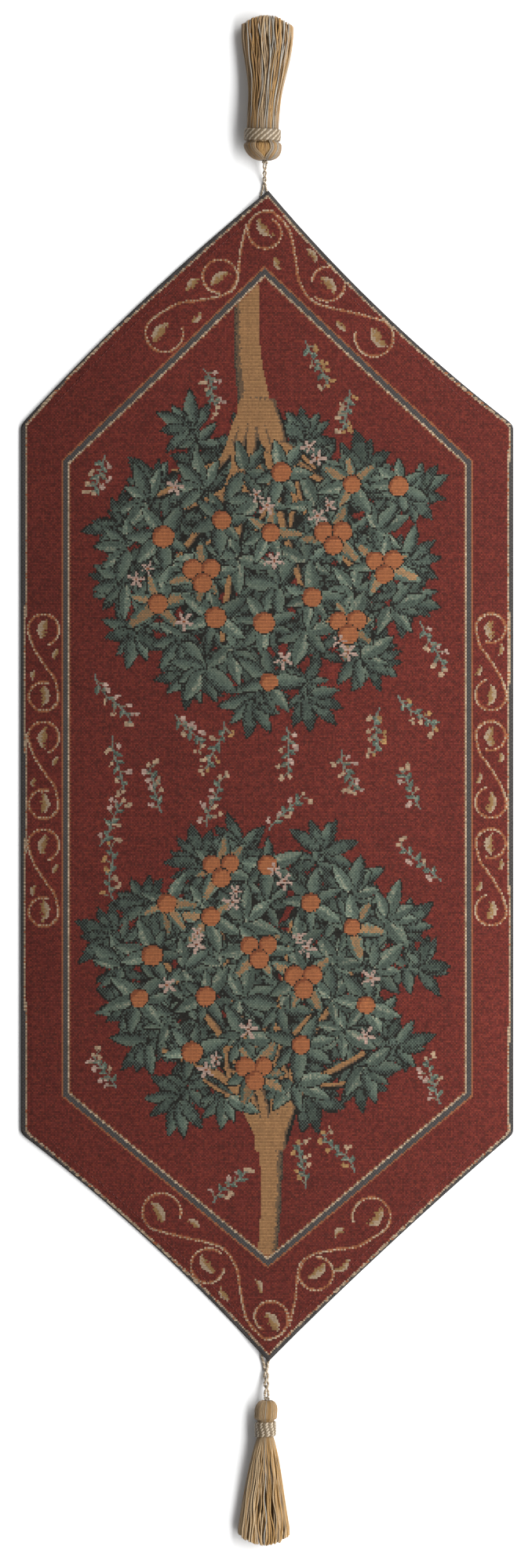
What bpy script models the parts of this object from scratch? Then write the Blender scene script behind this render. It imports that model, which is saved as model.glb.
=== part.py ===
"""A lined tapestry panel, pointed at both ends, with a corded tassel at each point.

It lies face up on a flat surface: +Z up, its length along Y, the top tassel towards +Y.
The origin is the centre of the whole length and width, on the surface that it lies on.
"""

import math

import bmesh
import bpy
from mathutils import Vector

MM = 0.001

# The panel's outline. A bow is how far a slanting edge stands out from a straight line.
PANEL_WIDTH = 350.0 * MM
SIDE_LENGTH = 504.0 * MM
POINT_TOP = 166.5 * MM
POINT_BOTTOM = 162.0 * MM
TIP_OFF_CENTRE = 0.8 * MM
BOW_TOP_LEFT = 4.5 * MM
BOW_TOP_RIGHT = -6.3 * MM
BOW_BOTTOM_RIGHT = -2.2 * MM
BOW_BOTTOM_LEFT = -5.6 * MM
STEPS_PER_SLANT = 8

# Its layers, from the surface upwards: lining, turned hem, face cloth.
CLOTH = 0.8 * MM
LINING = 0.5 * MM
GAP = 0.3 * MM
HEM_WIDTH = 13.0 * MM
LINING_INSET = 8.0 * MM
THREAD = 0.4 * MM
HEM_STITCH_INSET = 8.0 * MM
TIP_LIFT = 2.4 * MM

# The cord that hangs each tassel, doubled into a loop round a tack of thread.
TACK_INSIDE_TIP = 4.6 * MM
TACK_RADIUS = 0.4 * MM
KNOT_RADIUS = 2.4 * MM
LIP_BEHIND_KNOT = 1.4 * MM

# One tassel each. Widths and heights are the lying tassel's, seen from above and from the side.
TOP = {
    "cord": 19.5 * MM,
    "cord_diameter": 1.5 * MM,
    "tack_x": -2.0 * MM,
    "crown_x": -1.6 * MM,
    "neck_x": -3.4 * MM,
    "hem_x": 0.3 * MM,
    "head_width": 27.0 * MM,
    "head_height": 20.0 * MM,
    "head_length": 14.5 * MM,
    "neck_width": 22.8 * MM,
    "neck_height": 17.0 * MM,
    "binding_length": 10.0 * MM,
    "skirt_length": 80.0 * MM,
    "hem_width": 36.5 * MM,
    "hem_height": 15.0 * MM,
    "flare_from": 0.20,
    "flare_to": 0.86,
    "flare_smooth": 1.0,
    "yarn_layer": 3.0 * MM,
}
BOTTOM = {
    "cord": 25.6 * MM,
    "cord_diameter": 2.1 * MM,
    "tack_x": -1.1 * MM,
    "crown_x": -0.3 * MM,
    "neck_x": -1.2 * MM,
    "hem_x": -2.4 * MM,
    "head_width": 16.4 * MM,
    "head_height": 14.4 * MM,
    "head_length": 16.0 * MM,
    "neck_width": 11.8 * MM,
    "neck_height": 11.0 * MM,
    "binding_length": 12.0 * MM,
    "skirt_length": 76.6 * MM,
    "hem_width": 36.5 * MM,
    "hem_height": 13.0 * MM,
    "flare_from": 0.0,
    "flare_to": 0.84,
    "flare_smooth": 0.0,
    "yarn_layer": 2.0 * MM,
}
BINDING_LAYER = 1.2 * MM
RING_POINTS = 28


def tassel_length(tassel):
    return tassel["head_length"] + tassel["binding_length"] + tassel["skirt_length"]


def axis_height(tassel):
    """Height of the head's middle, with its thickest ring on the surface."""
    return max(tassel["head_height"] / 2, tassel["neck_height"] / 2 + GAP + BINDING_LAYER)


TOP_REACH = POINT_TOP + TOP["cord"] + tassel_length(TOP)
BOTTOM_REACH = POINT_BOTTOM + BOTTOM["cord"] + tassel_length(BOTTOM)
OVERALL_LENGTH = TOP_REACH + SIDE_LENGTH + BOTTOM_REACH
SHOULDER_TOP = OVERALL_LENGTH / 2 - TOP_REACH
SHOULDER_BOTTOM = BOTTOM_REACH - OVERALL_LENGTH / 2
TIP_TOP = SHOULDER_TOP + POINT_TOP
TIP_BOTTOM = SHOULDER_BOTTOM - POINT_BOTTOM
LIP_RADIUS = math.sqrt(KNOT_RADIUS**2 - LIP_BEHIND_KNOT**2) + 1.2 * GAP
HEM_UNDERSIDE = LINING + GAP
FACE_TOP = HEM_UNDERSIDE + 2 * CLOTH + GAP


def clear_scene():
    for obj in list(bpy.data.objects):
        bpy.data.objects.remove(obj, do_unlink=True)


def new_collection(name):
    collection = bpy.data.collections.new(name)
    bpy.context.scene.collection.children.link(collection)
    return collection


def material(name, colour, roughness, metallic=0.0):
    made = bpy.data.materials.new(name)
    made.use_nodes = True
    shader = made.node_tree.nodes["Principled BSDF"]
    shader.inputs["Base Color"].default_value = (*colour, 1.0)
    shader.inputs["Roughness"].default_value = roughness
    shader.inputs["Metallic"].default_value = metallic
    made.diffuse_color = (*colour, 1.0)
    return made


def place(name, data, finish, parent, origin=(0.0, 0.0, 0.0)):
    """Link a piece to the object's collection, with its own origin, under its body's empty."""
    obj = bpy.data.objects.new(name, data)
    obj.location = origin
    data.materials.append(finish)
    PIECES.objects.link(obj)
    if parent is not None:
        obj.parent = parent
        obj.matrix_parent_inverse = parent.matrix_basis.inverted()
    return obj


def body_empty(name, location):
    empty = bpy.data.objects.new(name, None)
    empty.location = location
    empty.empty_display_size = 0.01
    PIECES.objects.link(empty)
    return empty


def slant(start, end, bow):
    """Points from start up to, not including, end, on a shallow arc that stands out by bow."""
    start, end = Vector(start), Vector(end)
    along = end - start
    outward = Vector((along.y, -along.x)).normalized()
    for step in range(STEPS_PER_SLANT):
        t = step / STEPS_PER_SLANT
        yield start + along * t + outward * bow * 4 * t * (1 - t)


def panel_outline():
    """The hexagon's outline, anticlockwise from the top tip."""
    half = PANEL_WIDTH / 2
    top = (TIP_OFF_CENTRE, TIP_TOP)
    top_left, bottom_left = (-half, SHOULDER_TOP), (-half, SHOULDER_BOTTOM)
    bottom = (TIP_OFF_CENTRE, TIP_BOTTOM)
    bottom_right, top_right = (half, SHOULDER_BOTTOM), (half, SHOULDER_TOP)
    points = list(slant(top, top_left, BOW_TOP_LEFT))
    points.append(Vector(top_left))
    points.extend(slant(bottom_left, bottom, BOW_BOTTOM_LEFT))
    points.extend(slant(bottom, bottom_right, BOW_BOTTOM_RIGHT))
    points.append(Vector(bottom_right))
    points.extend(slant(top_right, top, BOW_TOP_RIGHT))
    return points


def inset(points, distance):
    """The outline moved inwards, with mitred corners."""
    moved = []
    for i, here in enumerate(points):
        before = (here - points[i - 1]).normalized()
        after = (points[(i + 1) % len(points)] - here).normalized()
        inward = Vector((-before.y - after.y, before.x + after.x)).normalized()
        across = inward.dot(Vector((-after.y, after.x)))
        moved.append(here + inward * distance / across)
    return moved


def tip_indices():
    return 0, 2 * STEPS_PER_SLANT + 1


def face_cloth(parent):
    """The woven cloth and its hem, turned under all round: an open sheet, thickened inwards."""
    outline = panel_outline()
    hem_edge = inset(outline, HEM_WIDTH)
    lifts = [TIP_LIFT if i in tip_indices() else 0.0 for i in range(len(outline))]
    bm = bmesh.new()
    rings = []
    for points, z in ((outline, FACE_TOP), (outline, HEM_UNDERSIDE), (hem_edge, HEM_UNDERSIDE)):
        rings.append([bm.verts.new((p.x, p.y, z + up)) for p, up in zip(points, lifts)])
    bm.faces.new(rings[0])
    for upper, lower in zip(rings, rings[1:]):
        for i in range(len(upper)):
            j = (i + 1) % len(upper)
            bm.faces.new((upper[i], lower[i], lower[j], upper[j]))
    mesh = bpy.data.meshes.new("face_panel")
    bm.to_mesh(mesh)
    bm.free()
    obj = place("face_panel", mesh, RED_WEAVE, parent)
    shell = obj.modifiers.new("cloth thickness", "SOLIDIFY")
    shell.thickness = CLOTH
    shell.offset = -1.0
    shell.use_even_offset = True
    return obj


def flat_piece(name, outline, low, high, finish, parent):
    """A flat outline, with any inner outlines as holes, extruded between two heights."""
    curve = bpy.data.curves.new(name, "CURVE")
    curve.dimensions = "2D"
    curve.fill_mode = "BOTH"
    curve.extrude = (high - low) / 2
    for points in outline:
        spline = curve.splines.new("POLY")
        spline.points.add(len(points) - 1)
        for point, at in zip(spline.points, points):
            point.co = (at.x, at.y, 0.0, 1.0)
        spline.use_cyclic_u = True
    return place(name, curve, finish, parent, (0.0, 0.0, (low + high) / 2))


def hem_stitches(name, first, parent):
    """One run of thread along a slanting hem, from near the shoulder to short of the tip."""
    outer = inset(panel_outline(), HEM_STITCH_INSET)
    inner = inset(panel_outline(), HEM_STITCH_INSET + THREAD)
    run = range(first, first + STEPS_PER_SLANT - 1)
    strip = [outer[i % len(outer)] for i in run] + [inner[i % len(inner)] for i in reversed(run)]
    low = FACE_TOP + GAP / 2
    flat_piece(name, [strip], low, low + THREAD, RED_THREAD, parent)


def smooth(t):
    t = min(max(t, 0.0), 1.0)
    return t * t * (3 - 2 * t)


def cord_middle(tassel, tip_y, sign):
    """The middle line of the doubled cord, from its tack to the knot at the tassel's crown."""
    rest = tassel["cord_diameter"] / 2 + GAP
    tack = Vector((tassel["tack_x"], tip_y - sign * TACK_INSIDE_TIP, rest))
    crown = Vector((tassel["crown_x"], tip_y + sign * tassel["cord"], axis_height(tassel)))
    return tack, crown


def cord_loop(name, tassel, tip_y, sign, parent, origin):
    """The cord goes out from the knot, round the tack, and back, as one plain tube."""
    radius = tassel["cord_diameter"] / 2
    turn = TACK_RADIUS + GAP + radius
    close = radius + GAP / 2
    tack, crown = cord_middle(tassel, tip_y, sign)
    reach = abs(crown.y - tack.y) - KNOT_RADIUS - GAP
    flat = TACK_INSIDE_TIP + 2.5 * MM
    leg = []
    count = 14
    for step in range(count):
        run = reach * step / (count - 1)
        rise = smooth((run - flat) / (reach - flat + KNOT_RADIUS))
        side = turn + (close - turn) * smooth(run / (0.5 * reach))
        middle = tack.lerp(crown, run / abs(crown.y - tack.y))
        height = tack.z + (crown.z - tack.z) * rise
        leg.append((side, sign * run, middle.x, height))
    points = []
    for side, run, x, z in reversed(leg):
        points.append(Vector((x - side, tack.y + run, z)))
    for step in range(1, 8):
        angle = math.pi * step / 8
        points.append(
            Vector((tack.x - turn * math.cos(angle), tack.y - sign * turn * math.sin(angle), tack.z))
        )
    for side, run, x, z in leg:
        points.append(Vector((x + side, tack.y + run, z)))
    curve = bpy.data.curves.new(name, "CURVE")
    curve.dimensions = "3D"
    curve.bevel_depth = radius
    curve.bevel_resolution = 2
    curve.use_fill_caps = True
    spline = curve.splines.new("POLY")
    spline.points.add(len(points) - 1)
    for point, at in zip(spline.points, points):
        point.co = (*(at - Vector(origin)), 1.0)
    return place(name, curve, CORD_YARN, parent, origin)


def outer_size(tassel, d):
    """Half width, half height of the yarn at distance d behind the crown."""
    head, binding = tassel["head_length"], tassel["binding_length"]
    neck = (tassel["neck_width"] / 2, tassel["neck_height"] / 2)
    if d < head:
        full = (tassel["head_width"] / 2, tassel["head_height"] / 2)
        widest = 0.68 * head
        if d <= widest:
            t = (d - LIP_BEHIND_KNOT) / (widest - LIP_BEHIND_KNOT)
            share = math.sqrt(max(0.0, 1 - (1 - t) ** 2)) ** 0.9
            return tuple(LIP_RADIUS + (half - LIP_RADIUS) * share for half in full)
        t = smooth((d - widest) / (head - widest))
        return tuple(half + (narrow - half) * t for half, narrow in zip(full, neck))
    if d < head + binding:
        return neck
    t = (d - head - binding) / tassel["skirt_length"]
    share = min(max((t - tassel["flare_from"]) / (tassel["flare_to"] - tassel["flare_from"]), 0), 1)
    share = smooth(share) if tassel["flare_smooth"] > 0.5 else share**0.8
    hem = (tassel["hem_width"] / 2, tassel["hem_height"] / 2)
    half = [narrow + (wide - narrow) * share for wide, narrow in zip(hem, neck)]
    rounding = max(0.0, (t - 0.95) / 0.05)
    return half[0] * (1 - 0.3 * rounding**2), half[1] * (1 - 0.25 * rounding**2)


def centre_of(tassel, d):
    """Sideways shift and height of the tassel's middle at d: it leans, and rests on the surface."""
    head = tassel["head_length"]
    total = tassel_length(tassel)
    if d < head:
        x = tassel["crown_x"] + (tassel["neck_x"] - tassel["crown_x"]) * smooth(d / head)
    else:
        t = smooth((d - head) / (0.7 * (total - head)))
        x = tassel["neck_x"] + (tassel["hem_x"] - tassel["neck_x"]) * t
    skirt = head + tassel["binding_length"]
    if d <= skirt:
        return x, axis_height(tassel)
    above = axis_height(tassel) - tassel["neck_height"] / 2
    drop = smooth((d - skirt) / (0.6 * (total - skirt)))
    return x, outer_size(tassel, min(d, 0.95 * total))[1] + above * (1 - drop)


def loft(name, tassel, stations, crown, sign, finish, parent, hollow):
    """Rings of one tassel joined in turn. A hollow piece's last ring joins its first."""
    bm = bmesh.new()
    rings = []
    for d, half_width, half_height in stations:
        x, z = centre_of(tassel, d)
        ring = []
        for i in range(RING_POINTS):
            angle = 2 * math.pi * i / RING_POINTS
            at = Vector((x + half_width * math.cos(angle), 0.0, z + half_height * math.sin(angle)))
            at.y = crown.y + sign * d
            ring.append(bm.verts.new(at - crown))
        rings.append(ring)
    pairs = list(zip(rings, rings[1:]))
    if hollow:
        pairs.append((rings[-1], rings[0]))
    else:
        bm.faces.new(rings[0])
        bm.faces.new(rings[-1])
    for one, other in pairs:
        for i in range(RING_POINTS):
            j = (i + 1) % RING_POINTS
            bm.faces.new((one[i], one[j], other[j], other[i]))
    bmesh.ops.recalc_face_normals(bm, faces=bm.faces)
    mesh = bpy.data.meshes.new(name)
    bm.to_mesh(mesh)
    bm.free()
    mesh.shade_smooth()
    mesh.set_sharp_from_angle(angle=math.radians(40))
    return place(name, mesh, finish, parent, crown)


def stations_between(start, end, count):
    return [start + (end - start) * i / (count - 1) for i in range(count)]


def tassel_pieces(where, tassel, tip_y, sign):
    """One end's tack, cord, and tassel, on two empties at the axes that they turn about."""
    tack, crown = cord_middle(tassel, tip_y, sign)
    swing = body_empty(f"{where}_cord_swing", tack)
    fold = body_empty(f"{where}_tassel_fold", crown)
    fold.parent = swing
    fold.matrix_parent_inverse = swing.matrix_basis.inverted()

    bottom = GAP
    top = HEM_UNDERSIDE + TIP_LIFT * 0.78 - GAP
    bpy.ops.mesh.primitive_cylinder_add(
        vertices=12, radius=TACK_RADIUS, depth=top - bottom, location=(0, 0, 0)
    )
    tack_mesh = bpy.context.object.data
    bpy.data.objects.remove(bpy.context.object)
    place(f"{where}_tip_tack", tack_mesh, RED_THREAD, None, (tack.x, tack.y, (top + bottom) / 2))

    cord_loop(f"{where}_hanging_cord", tassel, tip_y, sign, swing, tack)

    bpy.ops.mesh.primitive_uv_sphere_add(segments=16, ring_count=10, radius=KNOT_RADIUS)
    knot_mesh = bpy.context.object.data
    knot_mesh.shade_smooth()
    bpy.data.objects.remove(bpy.context.object)
    place(f"{where}_cord_knot", knot_mesh, CORD_YARN, fold, crown)

    head, binding = tassel["head_length"], tassel["binding_length"]
    total = tassel_length(tassel)
    layer = tassel["yarn_layer"]
    dome = [LIP_BEHIND_KNOT + (head - LIP_BEHIND_KNOT) * t for t in (0, 0.03, 0.1, 0.22, 0.4, 0.62, 0.8)]
    skirt = stations_between(head + binding, 0.95 * total, 8) + [0.985 * total, total]
    outer = [(d, *outer_size(tassel, d)) for d in dome + [head] + skirt]
    inner = [(LIP_BEHIND_KNOT + layer, LIP_RADIUS, LIP_RADIUS)]
    inner_from = 0.42 * head
    inner += [
        (d, outer_size(tassel, d)[0] - layer, outer_size(tassel, d)[1] - layer)
        for d in [inner_from, 0.66 * head, 0.84 * head, head] + skirt
    ]
    loft(
        f"{where}_tassel_yarn", tassel, outer + inner[::-1], crown, sign, TASSEL_YARN, fold, True
    )

    core_top = max(inner_from, LIP_BEHIND_KNOT + layer + 3 * GAP) + GAP
    core = [(core_top, *(outer_size(tassel, core_top)[k] - layer - 4 * GAP for k in (0, 1)))]
    core += [
        (d, outer_size(tassel, d)[0] - layer - GAP, outer_size(tassel, d)[1] - layer - GAP)
        for d in [0.66 * head, 0.84 * head, head] + skirt[:-2]
    ]
    loft(f"{where}_tassel_core", tassel, core, crown, sign, CORE_YARN, fold, False)

    at = stations_between(head + 0.6 * MM, head + binding - 0.6 * MM, 5)
    neck = (tassel["neck_width"] / 2 + GAP, tassel["neck_height"] / 2 + GAP)
    barrel = [0.55, 0.95, 1.0, 0.95, 0.55]
    outside = [(d, neck[0] + BINDING_LAYER * b, neck[1] + BINDING_LAYER * b) for d, b in zip(at, barrel)]
    inside = [(d, *neck) for d in reversed(at)]
    loft(f"{where}_neck_binding", tassel, outside + inside, crown, sign, BINDING_YARN, fold, True)


clear_scene()
PIECES = new_collection("tapestry_hanging")
RED_WEAVE = material("red_jacquard_weave", (0.100, 0.021, 0.017), 0.92)
LINING_CLOTH = material("lining_cotton", (0.115, 0.045, 0.035), 0.90)
RED_THREAD = material("red_thread", (0.150, 0.040, 0.040), 0.80)
CORD_YARN = material("cord_yarn", (0.400, 0.330, 0.240), 0.70)
TASSEL_YARN = material("tassel_yarn", (0.290, 0.180, 0.085), 0.60)
CORE_YARN = material("core_yarn", (0.280, 0.165, 0.060), 0.65)
BINDING_YARN = material("binding_yarn", (0.330, 0.270, 0.190), 0.65)

face_cloth(None)
flat_piece(
    "lining_panel", [inset(panel_outline(), LINING_INSET)], 0.0, LINING, LINING_CLOTH, None
)
slip_outer = inset(panel_outline(), LINING_INSET - GAP - THREAD)
slip_inner = inset(panel_outline(), LINING_INSET - GAP)
flat_piece(
    "lining_slip_stitch", [slip_outer, slip_inner], LINING - THREAD, LINING, RED_THREAD, None
)
hem_stitches("top_left_hem_stitch", 2, None)
hem_stitches("bottom_left_hem_stitch", STEPS_PER_SLANT + 1, None)
hem_stitches("bottom_right_hem_stitch", 2 * STEPS_PER_SLANT + 3, None)
hem_stitches("top_right_hem_stitch", 3 * STEPS_PER_SLANT + 2, None)
tassel_pieces("top", TOP, TIP_TOP, 1)
tassel_pieces("bottom", BOTTOM, TIP_BOTTOM, -1)
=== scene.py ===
"""The looks of a lined tapestry panel with a corded tassel at each of its two points.

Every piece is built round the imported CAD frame, in metres: +Y along the panel, +Z up, face up.
The cloth is one open sheet with a cell for every crossing of the weave, so its picture is woven
cell by cell by the Loom below; every yarn, cord and stitch is a twisted tube of its own.
"""

import math

import bpy
import numpy as np
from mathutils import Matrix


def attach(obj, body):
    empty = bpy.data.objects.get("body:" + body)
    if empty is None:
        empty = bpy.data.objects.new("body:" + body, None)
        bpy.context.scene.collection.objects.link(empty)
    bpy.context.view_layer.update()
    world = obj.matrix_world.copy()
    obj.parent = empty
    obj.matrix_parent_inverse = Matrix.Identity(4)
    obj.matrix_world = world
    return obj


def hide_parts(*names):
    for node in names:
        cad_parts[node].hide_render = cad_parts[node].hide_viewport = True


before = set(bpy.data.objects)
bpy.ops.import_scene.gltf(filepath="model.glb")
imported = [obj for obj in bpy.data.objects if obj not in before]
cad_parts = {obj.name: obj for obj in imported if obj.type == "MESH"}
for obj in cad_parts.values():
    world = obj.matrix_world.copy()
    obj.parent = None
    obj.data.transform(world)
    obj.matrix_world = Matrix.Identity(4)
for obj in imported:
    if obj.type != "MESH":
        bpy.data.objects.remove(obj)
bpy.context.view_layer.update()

MM = 0.001

# The same sizes as in the CAD part.
PANEL_WIDTH = 350.0 * MM
SIDE_LENGTH = 504.0 * MM
POINT_TOP = 166.5 * MM
POINT_BOTTOM = 162.0 * MM
TIP_OFF_CENTRE = 0.8 * MM
BOW_TOP_LEFT = 4.5 * MM
BOW_TOP_RIGHT = -6.3 * MM
BOW_BOTTOM_RIGHT = -2.2 * MM
BOW_BOTTOM_LEFT = -5.6 * MM
CLOTH = 0.8 * MM
LINING = 0.5 * MM
GAP = 0.3 * MM
LINING_INSET = 8.0 * MM
HEM_STITCH_INSET = 8.0 * MM
TIP_LIFT = 2.4 * MM
EDGE_DROP = 0.55 * MM
TACK_INSIDE_TIP = 4.6 * MM
TACK_RADIUS = 0.4 * MM
KNOT_RADIUS = 2.4 * MM
LIP_BEHIND_KNOT = 1.4 * MM
LIP_RADIUS = math.sqrt(KNOT_RADIUS**2 - LIP_BEHIND_KNOT**2) + 1.2 * GAP
BINDING_LAYER = 1.2 * MM
HEM_UNDERSIDE = LINING + GAP
FACE_TOP = HEM_UNDERSIDE + 2 * CLOTH + GAP


def tassel_sizes(shares, **lengths):
    """One tassel's numbers: plain shares, and lengths given in millimetres."""
    return {**shares, **{name: length * MM for name, length in lengths.items()}}


TOP = tassel_sizes(
    {"widest": 0.84, "flare_from": 0.20, "flare_to": 0.86, "flare_smooth": True},
    cord=19.5, cord_diameter=1.5, tack_x=-2.0, crown_x=-1.6, neck_x=-3.4, hem_x=0.3,
    head_width=27.0, head_height=20.0, head_length=14.5, neck_width=22.8, neck_height=17.0,
    binding_length=10.0, skirt_length=80.0, hem_width=36.5, hem_height=15.0,
)
BOTTOM = tassel_sizes(
    {"widest": 0.56, "flare_from": 0.0, "flare_to": 0.84, "flare_smooth": False},
    cord=25.6, cord_diameter=2.1, tack_x=-1.1, crown_x=-0.3, neck_x=-1.2, hem_x=-2.4,
    head_width=16.4, head_height=14.4, head_length=16.0, neck_width=11.8, neck_height=11.0,
    binding_length=12.0, skirt_length=76.6, hem_width=36.5, hem_height=13.0,
)


def tassel_length(tassel):
    return tassel["head_length"] + tassel["binding_length"] + tassel["skirt_length"]


def axis_height(tassel):
    """Height of the head's middle, with its thickest ring on the surface."""
    return max(tassel["head_height"] / 2, tassel["neck_height"] / 2 + GAP + BINDING_LAYER)


TOP_REACH = POINT_TOP + TOP["cord"] + tassel_length(TOP)
BOTTOM_REACH = POINT_BOTTOM + BOTTOM["cord"] + tassel_length(BOTTOM)
OVERALL_LENGTH = TOP_REACH + SIDE_LENGTH + BOTTOM_REACH
SHOULDER_TOP = OVERALL_LENGTH / 2 - TOP_REACH
SHOULDER_BOTTOM = BOTTOM_REACH - OVERALL_LENGTH / 2
TIP_TOP = SHOULDER_TOP + POINT_TOP
TIP_BOTTOM = SHOULDER_BOTTOM - POINT_BOTTOM

# The weave: a pick is one row of weft, an end is one warp thread.
PICK = 1.254 * MM
END = 1.115 * MM
RIB_RELIEF = 0.07 * MM
FAR = 1e9  # further than anything here

# The light on the object's middle, as a multiple of full white. Finishes are divided by it.
KEY_LEVEL = 1.68
YARN_LEVEL = 1.235  # loose yarns shade one another, so theirs is lower
FLOOR_ALBEDO = 0.9
SKY_STRENGTH = 0.25
KEY_WATTS = 80.0


# ---------------------------------------------------------------- camera, floor and light


def make_camera():
    """Straight down, far enough away that the frame's 2000 px cover 1114.6 mm."""
    data = bpy.data.cameras.new("camera")
    data.lens = 200.0
    data.sensor_width = 36.0
    data.clip_end = 50.0
    camera = bpy.data.objects.new("camera", data)
    camera.location = (-0.84 * MM, -2.5 * MM, 6.195)
    bpy.context.scene.collection.objects.link(camera)
    bpy.context.scene.camera = camera


def set_inputs(node, values):
    for name, value in values.items():
        node.inputs[name].default_value = value


def linear(colour):
    """An sRGB colour, 0 to 255, as linear numbers."""
    c = np.asarray(colour, float) / 255.0
    return np.where(c <= 0.04045, c / 12.92, ((c + 0.055) / 1.055) ** 2.4)


def finish_of(colour, level=KEY_LEVEL):
    """The surface colour that looks like the sRGB colour under this scene's light."""
    return linear(colour) / level


def make_key():
    """One long soft light to the right of the panel, shining straight down."""
    data = bpy.data.lights.new("key", "AREA")
    data.shape = "RECTANGLE"
    data.size, data.size_y = 0.9, 3.6
    data.energy = KEY_WATTS
    lamp = bpy.data.objects.new("key", data)
    lamp.location = (0.85, 0.0, 0.75)
    bpy.context.scene.collection.objects.link(lamp)
    lamp.visible_camera = False


def make_stage():
    """A pale floor, a soft key from the right, and a pale sky."""
    scene = bpy.context.scene
    scene.view_settings.view_transform = "Standard"
    mesh = bpy.data.meshes.new("floor")
    half = 4.0
    corners = [(-half, -half, 0), (half, -half, 0), (half, half, 0), (-half, half, 0)]
    mesh.from_pydata(corners, [], [(0, 1, 2, 3)])
    floor = bpy.data.objects.new("floor", mesh)
    scene.collection.objects.link(floor)
    pale = bpy.data.materials.new("pale_floor")
    pale.use_nodes = True
    set_inputs(
        pale.node_tree.nodes["Principled BSDF"],
        {
            "Base Color": (FLOOR_ALBEDO, FLOOR_ALBEDO, FLOOR_ALBEDO, 1.0),
            "Roughness": 0.9,
            "Specular IOR Level": 0.1,
        },
    )
    mesh.materials.append(pale)
    make_key()
    world = bpy.data.worlds.new("sky")
    world.use_nodes = True
    sky = {"Color": (1.0, 1.0, 1.0, 1.0), "Strength": SKY_STRENGTH}
    set_inputs(world.node_tree.nodes["Background"], sky)
    scene.world = world


# ---------------------------------------------------------------- meshes


def smooth(t):
    t = np.clip(t, 0.0, 1.0)
    return t * t * (3 - 2 * t)


def mesh_of(name, points, faces, uv, colours, per_face=False):
    """A mesh from points, lists of corners, UVs, and a colour for each point or each face."""
    mesh = bpy.data.meshes.new(name)
    mesh.from_pydata(np.asarray(points).tolist(), [], faces)
    corners = np.empty(len(mesh.loops), np.int32)
    mesh.loops.foreach_get("vertex_index", corners)
    layer = mesh.uv_layers.new(name="OFBake")
    flat = uv if len(uv) == len(corners) else uv[corners]
    layer.uv.foreach_set("vector", np.asarray(flat, np.float32).ravel())
    rgba = np.ones((len(corners), 4), np.float32)
    if per_face:
        totals = np.empty(len(mesh.polygons), np.int32)
        mesh.polygons.foreach_get("loop_total", totals)
        rgba[:, :3] = np.repeat(colours, totals, axis=0)
    else:
        rgba[:, :3] = np.asarray(colours)[corners]
    layer = mesh.color_attributes.new("yarn", "BYTE_COLOR", "CORNER")
    layer.data.foreach_set("color", rgba.ravel())
    mesh.shade_smooth()
    return mesh


def add_piece(name, mesh, material, body, slot, *nodes):
    piece = bpy.data.objects.new(name, mesh)
    mesh.materials.append(material)
    bpy.context.scene.collection.objects.link(piece)
    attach(piece, body)
    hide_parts(*nodes)
    return piece


def add_yarns(mesh_name, bundle, name, material, body, slot, node):
    return add_piece(name, mesh_of(mesh_name, *bundle), material, body, slot, node)


def along_path(path):
    """The distance run at each point of a path, or of many."""
    steps = np.linalg.norm(np.diff(path, axis=-2), axis=-1)
    start = np.zeros(steps.shape[:-1] + (1,))
    return np.concatenate([start, np.cumsum(steps, axis=-1)], axis=-1)


def yarns(
    paths, radius, colour, sides=8, pitch=4.5 * MM, groove=0.35, phase=0.0, flat=(1.0, 1.0),
    up=(0, 0, 1), contrast=0.5, second=1.0,
):
    """Two-ply twisted tubes along paths, an array of strands by stations by 3.

    radius and colour hold one value, one for each strand, or one for each station.
    flat squeezes the section: (across, along up). contrast paints shade into the groove
    between the plies, and second is the second ply's own colour, as a share of the first one's.
    Returns points, faces, UVs and colours.
    """
    paths = np.asarray(paths, float)
    strands, stations = paths.shape[:2]
    radius = np.broadcast_to(np.asarray(radius, float), (strands, stations))
    colour = np.broadcast_to(np.asarray(colour, float), (strands, stations, 3))
    tangent = np.gradient(paths, axis=1)
    tangent /= np.linalg.norm(tangent, axis=2, keepdims=True) + 1e-12
    up = np.broadcast_to(np.asarray(up, float), paths.shape)
    side = np.cross(tangent, up)
    side /= np.linalg.norm(side, axis=2, keepdims=True) + 1e-12
    normal = np.cross(side, tangent)
    run = along_path(paths)
    turn = 2 * np.pi * run / pitch + np.broadcast_to(phase, (strands,))[:, None]
    angle = 2 * np.pi * np.arange(sides) / sides
    # A section of two plies: its width follows the twist.
    twist = np.cos(angle[None, None] - turn[..., None])
    ply = np.abs(twist) ** 0.6
    share = (1 - groove) + groove * ply
    across = np.cos(angle) * flat[0]
    upward = np.sin(angle) * flat[1]
    points = (
        paths[:, :, None]
        + side[:, :, None] * (radius[..., None] * share * across)[..., None]
        + normal[:, :, None] * (radius[..., None] * share * upward)[..., None]
    )
    # Painted shade: the colour darkens in the groove between the two plies, as deep as contrast.
    shade = (1 - contrast * (1 - ply) * (groove > 0))[..., None]
    colours = colour[:, :, None] * shade * np.where((twist > 0)[..., None], 1.0, second)
    faces, uv = tube_faces(strands, stations, sides)
    return points.reshape(-1, 3), faces, uv, colours.reshape(-1, 3)


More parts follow.
